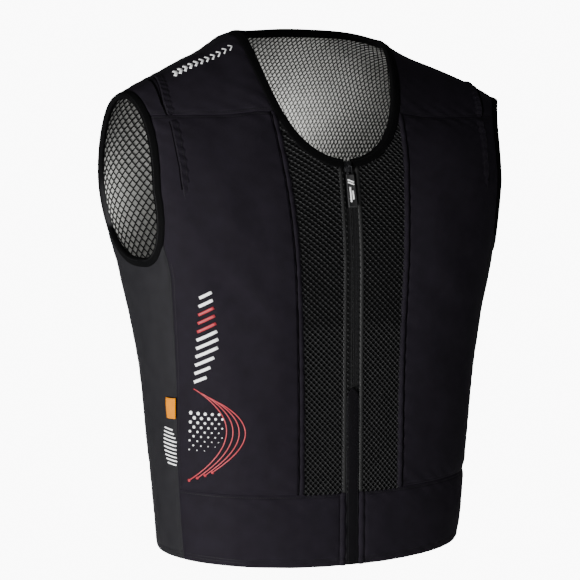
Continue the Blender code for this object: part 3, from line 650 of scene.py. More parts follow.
def climb_table(turn):
    """Distance over the form from the hem to each of LEVELS, along one turn."""
    return run_along(form_point(turn, LEVELS))


def net_place(arc, turns, climb, side):
    """A finder of turn and level for a flat net laid over one side, from its runs across and up."""
    return lambda x, y: (np.interp(x + arc[-1] / 2, arc, turns) * side, np.interp(y, climb, LEVELS))


# Back lining, up to the neck and the shoulder ridge
neck_back_share = (1 - NECK_BACK[0]) / (1 - back_outer(NECK_BACK[1]))
neck_end = float(neck_back_share[-1])
half_share = np.concatenate([
    np.interp(np.linspace(0, math.pi / 2, 31), QUARTER, neck_back_share),
    shares((0.92, 26), (1.0, 9))[1:] * (1 - neck_end) + neck_end,
])
back_share = np.concatenate([-half_share[:0:-1], half_share])


def back_lay(top_level, up):
    """Turns and levels of a grid over the back, up to the neck and a level on either side of it."""
    neck = np.interp(np.abs(back_share), neck_back_share, NECK_BACK[1])
    level = np.minimum(neck, top_level) * up[:, None]
    return (1 - (1 - back_outer(level)) * np.abs(back_share)) * np.where(back_share < 0, -1, 1), level


turn, level = back_lay(2.0, shares((1.0, 100)))
lining = cloth("back_lining", turn, level, np.full(turn.shape, LINING_INSET), LINING_CLOTH,
               lining_cloth, ["lining_back"], "lining")

# The net's rows lie level across the back. Its cells are closer together where it is drawn tight on the
# wearer's left, and longer low down. The close cells on the wearer's left also let the black strands cover
# more of the pale cloth, which darkens that side as painted shade
BACK_CELLS = {
    "across": (-1.0, -0.6, -0.25, 0.0, 0.25, 0.6, 1.0),
    "width": (0.0122, 0.0104, 0.0068, 0.0051, 0.0041, 0.0038, 0.0042),
}
BACK_ROWS = {"climb": (0.0, 0.31, 0.50, 0.80), "stretch": (1.20, 1.20, 0.83, 0.79)}
BACK_NET_HEIGHT = 0.80
# Rows climb at least this share of the run up the cloth, so that they don't bunch where it leans back
LEVELLEST = 0.65
TABLE_TOP = 0.12
HEM_MARGIN = 0.008
RIDGE_LEVEL = 1.99
back_turns = np.linspace(BACK_SEAM_TURN, 1.0, 101)
back_arc = run_along(form_point(back_turns, 1.0))
half_back = back_arc[-1]
across_back = np.linspace(-half_back, half_back, 401)
cells = LINING_NET["cell"] / np.interp(across_back / half_back, BACK_CELLS["across"], BACK_CELLS["width"])
flat_back = np.concatenate([[0], np.cumsum((cells[1:] + cells[:-1]) / 2 * np.diff(across_back))])
climbs = np.linspace(0.0, BACK_NET_HEIGHT, 401)
stretch = np.interp(climbs, BACK_ROWS["climb"], BACK_ROWS["stretch"])
row_heights = -HEM_DROP + np.concatenate([[0], np.cumsum((stretch[1:] + stretch[:-1]) / 2 * np.diff(climbs))])
column_points = form_point(back_turns[:, None], LEVELS[None])
rises = np.diff(column_points[..., 2], axis=1)
steps = np.linalg.norm(np.diff(column_points, axis=1), axis=2)
climbed = np.cumsum(np.maximum(rises, LEVELLEST * steps), axis=1)
column_heights = column_points[:, :1, 2] + np.pad(climbed, ((0, 0), (1, 0)))
height_steps = np.linspace(-HEM_DROP, TABLE_TOP, 721)
level_table = np.stack([np.interp(height_steps, heights, LEVELS) for heights in column_heights])


def between(table, row, column):
    """Values of a table between its rows and columns."""
    low_row = np.clip(row.astype(int), 0, table.shape[0] - 2)
    low_column = np.clip(column.astype(int), 0, table.shape[1] - 2)
    up, along = row - low_row, column - low_column
    if table.ndim > 2:
        up, along = up[..., None], along[..., None]
    low = table[low_row, low_column] * (1 - up) + table[low_row + 1, low_column] * up
    high = table[low_row, low_column + 1] * (1 - up) + table[low_row + 1, low_column + 1] * up
    return low * (1 - along) + high * along


def back_place(x, y):
    """Turn and level of a place on the back lining's flat net."""
    across = np.interp(x + flat_back[-1] / 2, flat_back, across_back)
    turn = np.interp(half_back - np.abs(across), back_arc, back_turns)
    height = np.interp(y, climbs, row_heights)
    column = (turn - back_turns[0]) / (back_turns[-1] - back_turns[0]) * (len(back_turns) - 1)
    row = (height - height_steps[0]) / (height_steps[-1] - height_steps[0]) * (len(height_steps) - 1)
    return turn * np.where(across < 0, -1, 1), between(level_table, column, row)


def on_back(turn, level):
    """Where the back lining is, as against its neck and armholes."""
    neck = np.interp(np.abs(turn), NECK_BACK[0][::-1], NECK_BACK[1][::-1], left=2.0)
    return (np.abs(turn) > back_outer(level)) & (level < np.minimum(neck, RIDGE_LEVEL)) & (level > HEM_MARGIN)


net("back_lining_net", flat_back[-1], climbs[-1], LINING_NET, back_place, on_back, net_yarn)

# Side and front linings: their nets reach past their seams, and are measured up the breast and the flank
FRONT_NET_TURN = ARMHOLE_FOOT_TURN + 0.05
SIDE_NET_TURN = 0.25
BREAST_TURN = 0.15
FLANK_TURN = 0.45
foot_front = ARM_FRONT[1] <= ARM_SIDE_LEVEL
foot_back = ARM_BACK[1] <= ARM_BACK_LEVEL
arm_foot = tuple(
    np.concatenate([front[foot_front][::-1], back[foot_back]])
    for front, back in zip(ARM_FRONT, ARM_BACK)
)
side_share = shares((0.09, 9), (0.91, 22), (1.0, 9))
side_climb = shares((0.04, 13), (0.97, 78), (1.0, 8))
foot_share = (arm_foot[0] - side_seam(arm_foot[1])) / (BACK_SEAM_TURN - side_seam(arm_foot[1]))
order = np.argsort(foot_share)
side_top = np.interp(side_share, foot_share[order], arm_foot[1][order])
side_turn, side_level, side_find = lay(side_seam, back_seam, 0.0, side_top, side_share, side_climb)

front_share = shares((1.0, 36))
neck_levels = np.interp(np.linspace(0.0, math.pi / 2, 60), QUARTER, NECK_FRONT[1])
front_levels = np.concatenate([np.linspace(0.0, neck_levels[0], 110), neck_levels[1:-1], [2.0]])[:, None]
front_turn = across_panel(lining_inner, front_outer, front_levels, front_share)
front_level = front_levels + 0 * front_share

front_turns = np.linspace(0.0, FRONT_NET_TURN, 201)
front_arc = run_along(form_point(front_turns, 1.0))
side_turns = np.linspace(SIDE_NET_TURN, BACK_SEAM_TURN, 201)
side_arc = run_along(form_point(side_turns, 1.0))
breast = climb_table(BREAST_TURN)
flank = climb_table(FLANK_TURN)
for word, side in SIDES.items():
    lining = cloth("side_lining_" + word, side_turn, side_level, np.full(side_turn.shape, LINING_INSET),
                   LINING_CLOTH, lining_cloth, ["lining_side_" + word], "lining", side)
    lining = cloth("front_lining_" + word, front_turn, front_level, np.full(front_turn.shape, LINING_INSET),
                   LINING_CLOTH, lining_cloth, ["lining_front_" + word], "lining", side)

    def on_side(turn, level):
        """Where the side lining is, as against the front, the back and the armhole."""
        foot = np.interp(np.abs(turn), arm_foot[0], arm_foot[1])
        within = (np.abs(turn) > side_seam(level)) & (np.abs(turn) < BACK_SEAM_TURN)
        return within & (level < foot) & (level > HEM_MARGIN)

    net("side_lining_net_" + word, side_arc[-1], flank[-1], LINING_NET,
        net_place(side_arc, side_turns, flank, side), on_side, net_yarn)

    def on_front(turn, level):
        """Where the front lining is, as against the zip, the neck and the armhole."""
        within = (np.abs(turn) > lining_inner(level)) & (np.abs(turn) < front_outer(level))
        return within & (level > HEM_MARGIN)

    net("front_lining_net_" + word, front_arc[-1], breast[-1], LINING_NET,
        net_place(front_arc, front_turns, breast, side), on_front, net_yarn)

# Shell: matt softshell panels over the folded airbag, rolled down into their seams, drawn in by their rows of
# stitching, puckered a little beside them and slightly rumpled
SHELL_BASE = 0.0036
SHELL_WALL = 0.0015
SEAM_ROLL = 0.0045
SEAM_DIP = 0.0009
EDGE_FOLD = 0.0060
EDGE_FOLD_RISE = 0.0016
EDGE_FOLD_GROOVE = 0.0006
FOLD_FULLNESS = 0.6
PUFF = 0.0014
PUFF_REACH = 0.030
PUCKER = 0.00050
PUCKER_LENGTH = 0.015
PUCKER_REACH = 0.013
PUCKER_RUN = (0.55, 0.35, 0.75)
PUCKER_DRIFT = 1.3
PUCKER_DRIFT_WAVE = 90
STITCH_SINK = 0.00045
STITCH_REACH = 0.0011
WELT_WIDTH = 0.0100
WELT_HEIGHT = 0.0021
WELT_WALL = 0.0010
WELT_PROFILE = ((0, 0.0007, 0.0045, 0.0100), (0.3, 1.0, 0.6, -0.3))
WELT_FLARE = 0.0068
WELT_STITCHES = (0.0018, 0.0074)
# Each welt is two strips, one on the chest and one on the shoulder, whose span is in levels. The lower strip
# rises over its first steps, and its surface is a little uneven
WELT_SPANS = {"chest": (1.25, 1.612), "shoulder": (1.632, 1.99)}
WELT_START_STEPS = 30
WELT_START_DROP = 1.6
WELT_RUMPLE = 0.00035
WELT_RUMPLE_WAVES = (150, 300)
WELT_HEM = 0.001
# Dark narrow tapes are painted shadow: they stand for the shade in the ditches beside the welts and beside
# the fold of the front
DITCH_WIDTH = 0.0020
DITCH_GAP = 0.0006
DITCH_LIFT = 0.0001
DITCH_START_STEP = 14
FOLD_DITCH_GAP = 0.0012
FOLD_DITCH_SINK = 0.0002
WELT_LEVELS = (1.10, 1.20, 1.27, 1.40, 1.58, 1.73, 2.00)
WELT_TURNS = (0.2680, 0.2600, 0.2555, 0.2530, 0.2580, 0.2665, 0.2680)
# Rumples: height, direction and closeness of the waves, and where they start. The waves are bent a little
RUMPLES = (
    (0.00095, (38.0, 12.0, -15.0), 0.4),
    (0.00075, (-20.0, 34.0, 31.0), 1.9),
    (0.00060, (78.0, -25.0, 9.0), 4.1),
    (0.00040, (55.0, -60.0, 88.0), 2.2),
)
RUMPLE_BEND = 0.03
RUMPLE_BEND_WAVE = 23


def welt_turn(level):
    """Turn of the curved welt that runs down the chest beside the armhole."""
    return np.interp(level, WELT_LEVELS, WELT_TURNS)


def relief(turn, level, side=1, folded=(), stitched=()):
    """How far a panel stands off the form.

    Folded edges are rounded and lie on top of the next piece, and all others are seams. Stitched gives the
    rows of stitching as (edge, distance).
    """
    points = form_point(turn * side, level)
    gaps = dict(zip(EDGES, measured(points)))
    near = np.minimum.reduce([gap for edge, gap in gaps.items() if edge not in folded])
    roll = np.clip(near / SEAM_ROLL, 0, 1)
    bent = points + RUMPLE_BEND * np.sin(points[..., [2, 0, 1]] * RUMPLE_BEND_WAVE)
    rumple = sum(size * (1 + np.sin(bent @ np.array(wave) + start)) for size, wave, start in RUMPLES)
    run = points @ np.array(PUCKER_RUN)
    drift = PUCKER_DRIFT * np.sin(run * PUCKER_DRIFT_WAVE)
    pucker = PUCKER * np.sin(run * 2 * math.pi / PUCKER_LENGTH + drift)
    nearest = near
    out = SHELL_BASE - SEAM_DIP * (1 - roll * (2 - roll))
    for edge in folded:
        nearest = np.minimum(nearest, gaps[edge])
        dome = np.sin(np.pi * np.clip(gaps[edge] / EDGE_FOLD, 0, 1)) ** FOLD_FULLNESS
        groove = np.exp(-((gaps[edge] - EDGE_FOLD - STITCH_REACH) / STITCH_REACH) ** 2)
        out = out + EDGE_FOLD_RISE * dome - EDGE_FOLD_GROOVE * groove
    full = 1 - np.exp(-nearest / PUFF_REACH)
    drawn = np.exp(-nearest / PUCKER_REACH) * roll
    out = out + full * (PUFF + rumple) + drawn * pucker
    for edge, distance in stitched:
        out = out - STITCH_SINK * np.exp(-((gaps[edge] - distance) / STITCH_REACH) ** 2)
    return out


softshell = cloth_material(
    "softshell", (0.0034, 0.0025, 0.0042), (0.0084, 0.0065, 0.0106), 1400, 0.0002, 0.80, 0.10)
side_softshell = cloth_material(
    "side_softshell", (0.0041, 0.0039, 0.0048), (0.0118, 0.0114, 0.0133), 800, 0.0003, 0.75, 0.12)
thread = cloth_material("thread", (0.0016, 0.0016, 0.0020), (0.0040, 0.0040, 0.0050), 3000, 0.0001, 0.6, 0.2)

# Near-black cloth for the tapes that are painted shadow in the ditches
painted_ditch_shadow = cloth_material(
    "painted_ditch_shadow", (0.0003, 0.0003, 0.0003), (0.0008, 0.0008, 0.0009), 1400, 0.0002, 0.9, 0.02)

STITCH_PITCH = 0.0033
STITCH_LENGTH = 0.0024
STITCH_WIDTH = 0.00060
STITCH_FLATNESS = 0.7
STITCH_PROUD = 0.2


def at_distance(distance, along, values):
    """Values of a line of points or normals at a distance along it."""
    return [np.interp(distance, along, values[:, axis]) for axis in range(3)]


def beside(panel, edge, distance, start=0.0, end=1.0):
    """Points and normals on a panel's face, at a distance from one of its edges."""
    gap = panel["gaps"][EDGES.index(edge)]
    skin, normal = panel["skin"], panel["normal"]
    if edge in ("low", "high"):
        gap, skin, normal = gap.T, skin.transpose(1, 0, 2), normal.transpose(1, 0, 2)
    if edge in ("right", "high"):
        gap, skin, normal = gap[:, ::-1], skin[:, ::-1], normal[:, ::-1]
    lines = slice(round(start * (len(gap) - 1)), round(end * (len(gap) - 1)) + 1)
    return tuple(
        np.array([at_distance(distance, *line) for line in zip(gap[lines], values[lines])])
        for values in (skin, normal)
    )


def places_on(panel, turn, level):
    """Points and normals on a panel's face, at turns and levels."""
    columns, rows = panel["find"](turn, level)
    return [between(panel[grid], rows, columns) for grid in ("skin", "normal")]


def stitching(name, runs):
    """Rows of lockstitch on the cloth: one short thread for each stitch."""
    bm = bmesh.new()
    bm.loops.layers.uv.new("cloth")
    for points, normals in runs:
        along = run_along(points)
        for spot in np.arange(STITCH_PITCH, along[-1] - STITCH_PITCH / 2, STITCH_PITCH):
            start = Vector(at_distance(spot - STITCH_LENGTH / 2, along, points))
            end = Vector(at_distance(spot + STITCH_LENGTH / 2, along, points))
            up = Vector(at_distance(spot, along, normals)).normalized()
            ahead = (end - start).normalized()
            turned = Matrix((up.cross(ahead), up, ahead)).transposed().to_4x4()
            size = Matrix.Diagonal((1.0, STITCH_FLATNESS, 1.0, 1.0))
            where = Matrix.Translation((start + end) / 2 + up * STITCH_WIDTH * STITCH_PROUD)
            bmesh.ops.create_cone(
                bm, cap_ends=True, segments=6, radius1=STITCH_WIDTH / 2, radius2=STITCH_WIDTH / 2,
                depth=STITCH_LENGTH, matrix=where @ turned @ size)
    return add_piece(name, bm, thread, smooth_angle=60)


def rod(bm, points, radius, segments=10, closed=False):
    """A round bar along a path: a circle carried through it and skinned."""
    points = [Vector(point) for point in points]
    count = len(points)
    rings = []
    for k, point in enumerate(points):
        before = points[k - 1] if closed or k else point
        after = points[(k + 1) % count] if closed or k < count - 1 else point
        turned = (after - before).normalized().to_track_quat("Z", "X").to_matrix().to_4x4()
        where = Matrix.Translation(point) @ turned
        rings.append(bmesh.ops.create_circle(bm, segments=segments, radius=radius, matrix=where)["verts"])
    for pair in list(zip(rings, rings[1:])) + ([(rings[-1], rings[0])] if closed else []):
        edges = {
            edge for ring in pair for vert in ring for edge in vert.link_edges
            if edge.verts[0] in ring and edge.verts[1] in ring
        }
        bmesh.ops.bridge_loops(bm, edges=list(edges))
    if not closed:
        bmesh.ops.holes_fill(bm, edges=bm.edges, sides=segments)


def piping(name, points, width, segments, material):
    """A cord or narrow tape along a path, as a piece of its own."""
    bm = bmesh.new()
    bm.loops.layers.uv.new("cloth")
    rod(bm, points, width / 2, segments)
    bmesh.ops.recalc_face_normals(bm, faces=bm.faces)
    add_piece(name, bm, material, smooth_angle=60)


TOPSTITCH = 0.0032
FOLD_STITCHES = (0.0012, 0.0070)
HEM_STITCHES = (0.0050, 0.0085)
BAND_LEVEL = 0.250
BACK_YOKE_LEVEL = 1.80

turn, level = back_lay(BACK_YOKE_LEVEL, shares((0.028, 14), (0.975, 110), (1.0, 10)))
hem_rows = [("low", HEM_STITCHES[0]), ("low", HEM_STITCHES[1])]
rows = [*hem_rows, ("left", TOPSTITCH), ("right", TOPSTITCH), ("high", TOPSTITCH)]
out = relief(turn, level, stitched=rows)
back_panel = cloth("back_softshell", turn, level, out, SHELL_WALL, softshell, ["back_panel"], "softshell")
stitching("back_stitching", [
    *(beside(back_panel, edge, distance) for edge, distance in hem_rows),
    beside(back_panel, "left", TOPSTITCH, 0.0, 0.62), beside(back_panel, "right", TOPSTITCH, 0.0, 0.62),
])

MESH_HALF_WIDTH = 0.060
MESH_TOP_HALF_WIDTH = 0.083
MESH_FLARE_LEVEL = 0.30
MESH_FLARE_END = 1.55
MESH_FLARE_BEND = 2.5
FRONT_YOKE_DROP = 0.088
ZIP_OPENING = 0.0170
FRONT_LAP = 0.0018


def mesh_seam(level):
    """Turn of the seam between the mesh panel and the front panel."""
    share = np.clip((level - MESH_FLARE_LEVEL) / (MESH_FLARE_END - MESH_FLARE_LEVEL), 0, 1)
    x = MESH_HALF_WIDTH + (MESH_TOP_HALF_WIDTH - MESH_HALF_WIDTH) * share ** MESH_FLARE_BEND
    return turn_at(x, level)


NECK_MESH_LEVEL = meeting(NECK_FRONT, mesh_seam)


def front_inner(level):
    """Inner edge of the front panel and the yoke: the mesh seam, then the neck."""
    neck = np.interp(level, NECK_FRONT[1], NECK_FRONT[0])
    return np.where(level < NECK_MESH_LEVEL, mesh_seam(level), neck)


def back_inner(level):
    """Neck edge of the back."""
    return np.interp(level, NECK_BACK[1], NECK_BACK[0])


def zip_edge(level):
    """Edge of the front pieces beside the zip."""
    return turn_at(ZIP_OPENING / 2, level)


def front_edge(level):
    """Inner edge of the front panel's softshell, folded over the edge of the mesh."""
    neck = np.interp(level, NECK_FRONT[1], NECK_FRONT[0])
    lapped = mesh_seam(level) - FRONT_LAP / np.linalg.norm(form_slopes(mesh_seam(level), level)[0], axis=-1)
    return np.where(level < NECK_MESH_LEVEL, lapped, neck)


panel_share = shares((0.09, 16), (0.93, 56), (1.0, 9))
band_share = shares((0.06, 11), (0.94, 44), (1.0, 9))
yoke_front = level_at(
    lambda level: across_panel(front_inner, front_outer, level, panel_share),
    np.full(len(panel_share), -FRONT_YOKE_DROP))
front_panels, hem_bands, yokes, side_panels = {}, {}, {}, {}
folded_rows = [("left", distance) for distance in FOLD_STITCHES]
for word, side in SIDES.items():
    climb = shares((0.030, 12), (0.972, 104), (1.0, 11))
    turn, level, find = lay(front_edge, front_outer, BAND_LEVEL, yoke_front, panel_share, climb)
    rows = [*folded_rows, ("low", TOPSTITCH), ("high", TOPSTITCH), ("right", TOPSTITCH)]
    out = relief(turn, level, side, ["left"], rows)
    panel = cloth("front_softshell_" + word, turn, level, out, SHELL_WALL, softshell,
                  ["front_panel_" + word], "softshell", side, find)
    front_panels[word] = panel

    climb = shares((0.14, 13), (0.86, 17), (1.0, 12))
    turn, level, find = lay(zip_edge, front_outer, 0.0, BAND_LEVEL, band_share, climb)
    rows = [*hem_rows, ("high", TOPSTITCH)]
    panel = cloth("hem_softshell_" + word, turn, level, relief(turn, level, side, ["left"], rows), SHELL_WALL,
                  softshell, ["hem_band_" + word], "softshell", side, find)
    hem_bands[word] = panel

    climb = shares((0.16, 11), (1.0, 24))
    turn, level, find = lay(front_inner, front_outer, yoke_front, 2.0, panel_share, climb)
    back_level = np.linspace(2.0, BACK_YOKE_LEVEL, 24)[1:, None] + 0 * panel_share
    back_turn = across_panel(back_inner, back_outer, back_level, panel_share)
    turn, level = np.concatenate([turn, back_turn]), np.concatenate([level, back_level])
    rows = [("low", TOPSTITCH), ("high", TOPSTITCH)]
    out = relief(turn, level, side, stitched=rows)
    panel = cloth("yoke_softshell_" + word, turn, level, out, SHELL_WALL, softshell,
                  ["yoke_" + word], "softshell", side, find)
    yokes[word] = panel

    rows = [*hem_rows, ("left", TOPSTITCH)]
    out = relief(side_turn, side_level, side, (), rows)
    panel = cloth("side_softshell_" + word, side_turn, side_level, out, SHELL_WALL, side_softshell,
                  ["side_panel_" + word], "side_softshell", side, side_find)
    side_panels[word] = panel

    welt_rows = []
    for part_name, panel in (("chest", front_panels[word]), ("shoulder", yokes[word])):
        low, high = WELT_SPANS[part_name]
        level = np.linspace(low, high, 90)
        inward = np.linspace(0.0, WELT_WIDTH, 21)
        rise = np.interp(inward, WELT_PROFILE[0], WELT_PROFILE[1]) * WELT_HEIGHT
        waves = level[:, None] * WELT_RUMPLE_WAVES[0] + inward * WELT_RUMPLE_WAVES[1]
        rise = rise + WELT_RUMPLE * np.sin(waves) * (inward > WELT_HEM)
        if part_name == "chest":
            start_share = np.clip((level - low) / (level[WELT_START_STEPS] - low), 0, 1)[:, None]
            rise = rise - WELT_HEIGHT * WELT_START_DROP * (1 - start_share) ** 2
        lines = [places_on(panel, *shifted(welt_turn(level), level, distance)) for distance in inward]
        normals = np.stack([line[1] for line in lines], axis=1)
        points = np.stack([line[0] for line in lines], axis=1) + normals * (rise[..., None] - WELT_WALL)
        strip = skin(part_name + "_welt_" + word, points, normals, WELT_WALL, softshell, [], "softshell")
        welt_rows.extend(beside(strip, "left", distance) for distance in WELT_STITCHES)
        # Painted shadow: a dark tape in the ditch beside each welt, and on the shoulder a second one that
        # spreads away from it
        ditches = {"ditch": (-DITCH_GAP, DITCH_START_STEP if part_name == "chest" else 0)}
        if part_name == "shoulder":
            ditches["flare"] = (-DITCH_GAP - WELT_FLARE * (level - low) / (high - low), 0)
        for ditch, (distance, start) in ditches.items():
            points, normals = places_on(panel, *shifted(welt_turn(level), level, distance))
            points = (points + normals * DITCH_LIFT)[start:]
            piping(f"{part_name}_{ditch}_{word}", points, DITCH_WIDTH, 6, painted_ditch_shadow)
    # Painted shadow: a dark tape in the ditch beside the fold of the front
    points, normals = beside(front_panels[word], "left", EDGE_FOLD + FOLD_DITCH_GAP)
    piping("fold_ditch_" + word, points - normals * FOLD_DITCH_SINK, DITCH_WIDTH, 6, painted_ditch_shadow)
    stitching("panel_stitching_" + word, [
        *(beside(front_panels[word], edge, distance) for edge, distance in folded_rows),
        beside(front_panels[word], "right", TOPSTITCH, 0.0, 0.55),
        beside(front_panels[word], "high", TOPSTITCH), beside(yokes[word], "low", TOPSTITCH),
        beside(yokes[word], "high", TOPSTITCH), *welt_rows,
    ])
    stitching("hem_stitching_" + word, [
        *(beside(hem_bands[word], edge, distance) for edge, distance in hem_rows),
        *(beside(side_panels[word], edge, distance) for edge, distance in hem_rows),
        beside(hem_bands[word], "high", TOPSTITCH), beside(hem_bands[word], "left", FOLD_STITCHES[1]),
        beside(side_panels[word], "left", TOPSTITCH, 0.0, 0.97),
    ])

# Front mesh: black spacer mesh with open pointed cells over a felt backing, one panel either side of the
# zip, its edge folded and stitched along the zip
MESH_NET = {
    "cell": 0.0068, "pitch": 0.0032, "point": 0.0012, "strand": 0.0025, "ridge": 0.0058, "foot": 0.0045,
}
MESH_NET_TURN = 0.16
MESH_MIDDLE_TURN = 0.06
MESH_LAP_TURN = 0.002
MESH_BACKING = 0.0008
FOLD_WIDTH = 0.0045
FOLD_DOME = 0.0014
FOLD_WALL = 0.0006
mesh_backing = cloth_material(
    "mesh_backing", (0.0006, 0.0006, 0.0007), (0.002, 0.002, 0.002), 700, 0.0003, 0.9, 0.05)
mesh_yarn = cloth_material(
    "mesh_yarn", (0.0012, 0.0012, 0.0013), (0.0048, 0.0048, 0.0050), 1600, 0.0002, 0.5, 0.20)


def mesh_top_level(turn):
    """Level at which a turn of the mesh panel meets the neckline."""
    return np.interp(np.abs(turn), NECK_FRONT[0], NECK_FRONT[1])


mesh_share = shares((1.0, 24))
neck_zip_edge = zip_edge(NECK_FRONT[1])
mesh_line_share = (NECK_FRONT[0] - neck_zip_edge) / (mesh_seam(NECK_FRONT[1]) - neck_zip_edge)
mesh_top = np.interp(mesh_share, mesh_line_share, NECK_FRONT[1])
mesh_turns = np.linspace(0.0, MESH_NET_TURN, 201)
mesh_arc = run_along(form_point(mesh_turns, 1.0))
front_climb = climb_table(MESH_MIDDLE_TURN)
for word, side in SIDES.items():
    turn, level, find = lay(zip_edge, mesh_seam, BAND_LEVEL, mesh_top, mesh_share, shares((1.0, 110)))
    panel = cloth("mesh_backing_" + word, turn, level, np.full(turn.shape, SHELL_BASE + 0.0003), MESH_BACKING,
                  mesh_backing, ["mesh_panel_" + word], "spacer_mesh", side)

    def on_mesh(turn, level):
        """Where the mesh is, as against the zip, the front panel, the hem band and the neck."""
        within = (np.abs(turn) > zip_edge(level)) & (np.abs(turn) < mesh_seam(level) + MESH_LAP_TURN)
        return within & (level > BAND_LEVEL) & (level < mesh_top_level(turn))

    net("mesh_net_" + word, mesh_arc[-1], front_climb[-1], MESH_NET,
        net_place(mesh_arc, mesh_turns, front_climb, side), on_mesh, mesh_yarn)

    fold_share = shares((1.0, 8))
    level = BAND_LEVEL + (mesh_top[0] - BAND_LEVEL) * np.linspace(0, 1, 111)[:, None] + 0 * fold_share
    turn = turn_at(ZIP_OPENING / 2 + (fold_share - 0.1) * FOLD_WIDTH, level)
    dome = SHELL_BASE + 0.0004 + FOLD_DOME * np.sin(np.pi * fold_share) ** FOLD_FULLNESS + 0 * level
    fold = cloth("mesh_fold_" + word, turn, level, dome, FOLD_WALL, net_yarn, [], "spacer_mesh", side)
    stitching("mesh_stitching_" + word, [beside(fold, "right", 0.0012)])

# Binding: black ribbed tape folded over the neck and armhole edges and stitched through
ARM_TAPE_WIDTH = 0.0105
NECK_TAPE_WIDTH = 0.0120
BINDING_PROUD = 0.0008
BINDING_SQUARENESS = 0.62
BINDING_STITCH = 0.0028
BINDING_STITCH_SINK = 0.0004
SHELL_TOP = 0.0054
BINDING_ZIP_GAP = 0.0120
binding_tape = cloth_material(
    "binding_tape", (0.0004, 0.0004, 0.0005), (0.0015, 0.0015, 0.0017), 900, 0.0004, 0.80, 0.05)


def binding(name, turn, level, closed, width, node):
    """Tape folded over an edge: a domed section carried along a line on the form."""
    centre = form_point(turn, level)
    normal = form_normal(turn, level)
    if closed:
        along = np.roll(centre, -1, axis=0) - np.roll(centre, 1, axis=0)
    else:
        along = np.gradient(centre, axis=0)
    along /= np.linalg.norm(along, axis=1, keepdims=True)
    side = np.cross(normal, along)
    middle = SHELL_TOP / 2
    reach = (SHELL_TOP + 2 * BINDING_PROUD) / 2
    angles = np.linspace(0, 2 * np.pi, 25)
    across, up = (
        np.sign(share) * np.abs(share) ** BINDING_SQUARENESS for share in (np.cos(angles), np.sin(angles))
    )
    section = np.stack([across * width / 2, middle + up * reach], 1)
    points = np.stack([centre + side * beyond + normal * out for beyond, out in section])
    if closed:
        points = np.concatenate([points, points[:, :1]], axis=1)
    bm = grid_mesh(points, *np.broadcast_arrays(run_along(points[0]), run_along(section)[:, None]))
    bmesh.ops.remove_doubles(bm, verts=bm.verts, dist=1e-7)
    if not closed:
        bmesh.ops.holes_fill(bm, edges=bm.edges, sides=len(section))
    bmesh.ops.recalc_face_normals(bm, faces=bm.faces)
    add_piece(name, bm, binding_tape, [node])
    return {"centre": centre, "normal": normal, "side": side, "top": middle + reach}


def tape_run(tape, across):
    """Points and normals along a tape's face, off its middle line."""
    out = tape["top"] - BINDING_STITCH_SINK
    points = tape["centre"] + tape["side"] * across + tape["normal"] * out
    return points, tape["normal"]


for word, side in SIDES.items():
    turn, level = armhole_line(np.linspace(0, math.pi, 121), False)
    turn_back, level_back = armhole_line(np.linspace(0, math.pi, 121), True)
    turn = np.concatenate([turn, turn_back[-2:0:-1]])
    level = np.concatenate([level, level_back[-2:0:-1]])
    tape = binding("armhole_tape_" + word, turn * side, level, True, ARM_TAPE_WIDTH,
                   "armhole_binding_" + word)
    stitching("armhole_stitching_" + word, [tape_run(tape, -BINDING_STITCH * side)])

start = math.asin(BINDING_ZIP_GAP / 2 / NECK_HALF_WIDTH)
front_turn, front_level = neck_line(np.linspace(start, math.pi / 2, 91), False)
back_turn, back_level = neck_line(np.linspace(0, math.pi / 2, 71), True)
half_turn = np.concatenate([front_turn, back_turn[-2::-1]])
half_level = np.concatenate([front_level, back_level[-2::-1]])
turn = np.concatenate([-half_turn, half_turn[-2::-1]])
level = np.concatenate([half_level, half_level[-2::-1]])
tape = binding("neck_tape", turn, level, False, NECK_TAPE_WIDTH, "neck_binding")
stitching("neck_stitching", [tape_run(tape, -BINDING_STITCH)])

# Front zip: two dark grey woven tapes that meet over a nylon coil
TAPE_WIDTH = 0.0140
TAPE_GAP = 0.0006
TAPE_THICKNESS = 0.0010
TAPE_BASE = 0.0023
COIL_WIDTH = 0.0050
COIL_PITCH = 0.0013
COIL_WIRE = 0.0008
COIL_OUT = 0.0017
# Each turn of the coil is a bar over part of its width, set off to one side and then to the other
COIL_TURN_SHARE = 0.6
COIL_OFFSET_SHARE = 0.2
COIL_MARGIN = 0.002
TAPE_LIP = 0.0004
TAPE_LIP_REACH = 0.0012
TAPE_STITCH = 0.0042
zip_tape = cloth_material(
    "zip_tape", (0.0020, 0.0020, 0.0022), (0.0058, 0.0058, 0.0061), 1100, 0.0003, 0.7, 0.15)


def grained_material(name, grain_scale, dark, light, roughness):
    """A moulded or plated material in two tones of a fine grain, with its shader and grain nodes."""
    material = bpy.data.materials.new(name)
    material.use_nodes = True
    tree = material.node_tree
    shader = tree.nodes["Principled BSDF"]
    shader.inputs["Roughness"].default_value = roughness
    grain = tree.nodes.new("ShaderNodeTexNoise")
    grain.inputs["Scale"].default_value = grain_scale
    spot = tree.nodes.new("ShaderNodeTexCoord")
    ramp = tree.nodes.new("ShaderNodeValToRGB")
    for element, tone in zip(ramp.color_ramp.elements, (dark, light)):
        element.color = (*tone, 1)
    tree.links.new(spot.outputs["Object"], grain.inputs["Vector"])
    tree.links.new(grain.outputs["Fac"], ramp.inputs["Fac"])
    tree.links.new(ramp.outputs["Color"], shader.inputs["Base Color"])
    return material, shader, grain


coil_nylon = grained_material("coil_nylon", 900.0, (0.012, 0.012, 0.013), (0.030, 0.030, 0.032), 0.35)[0]

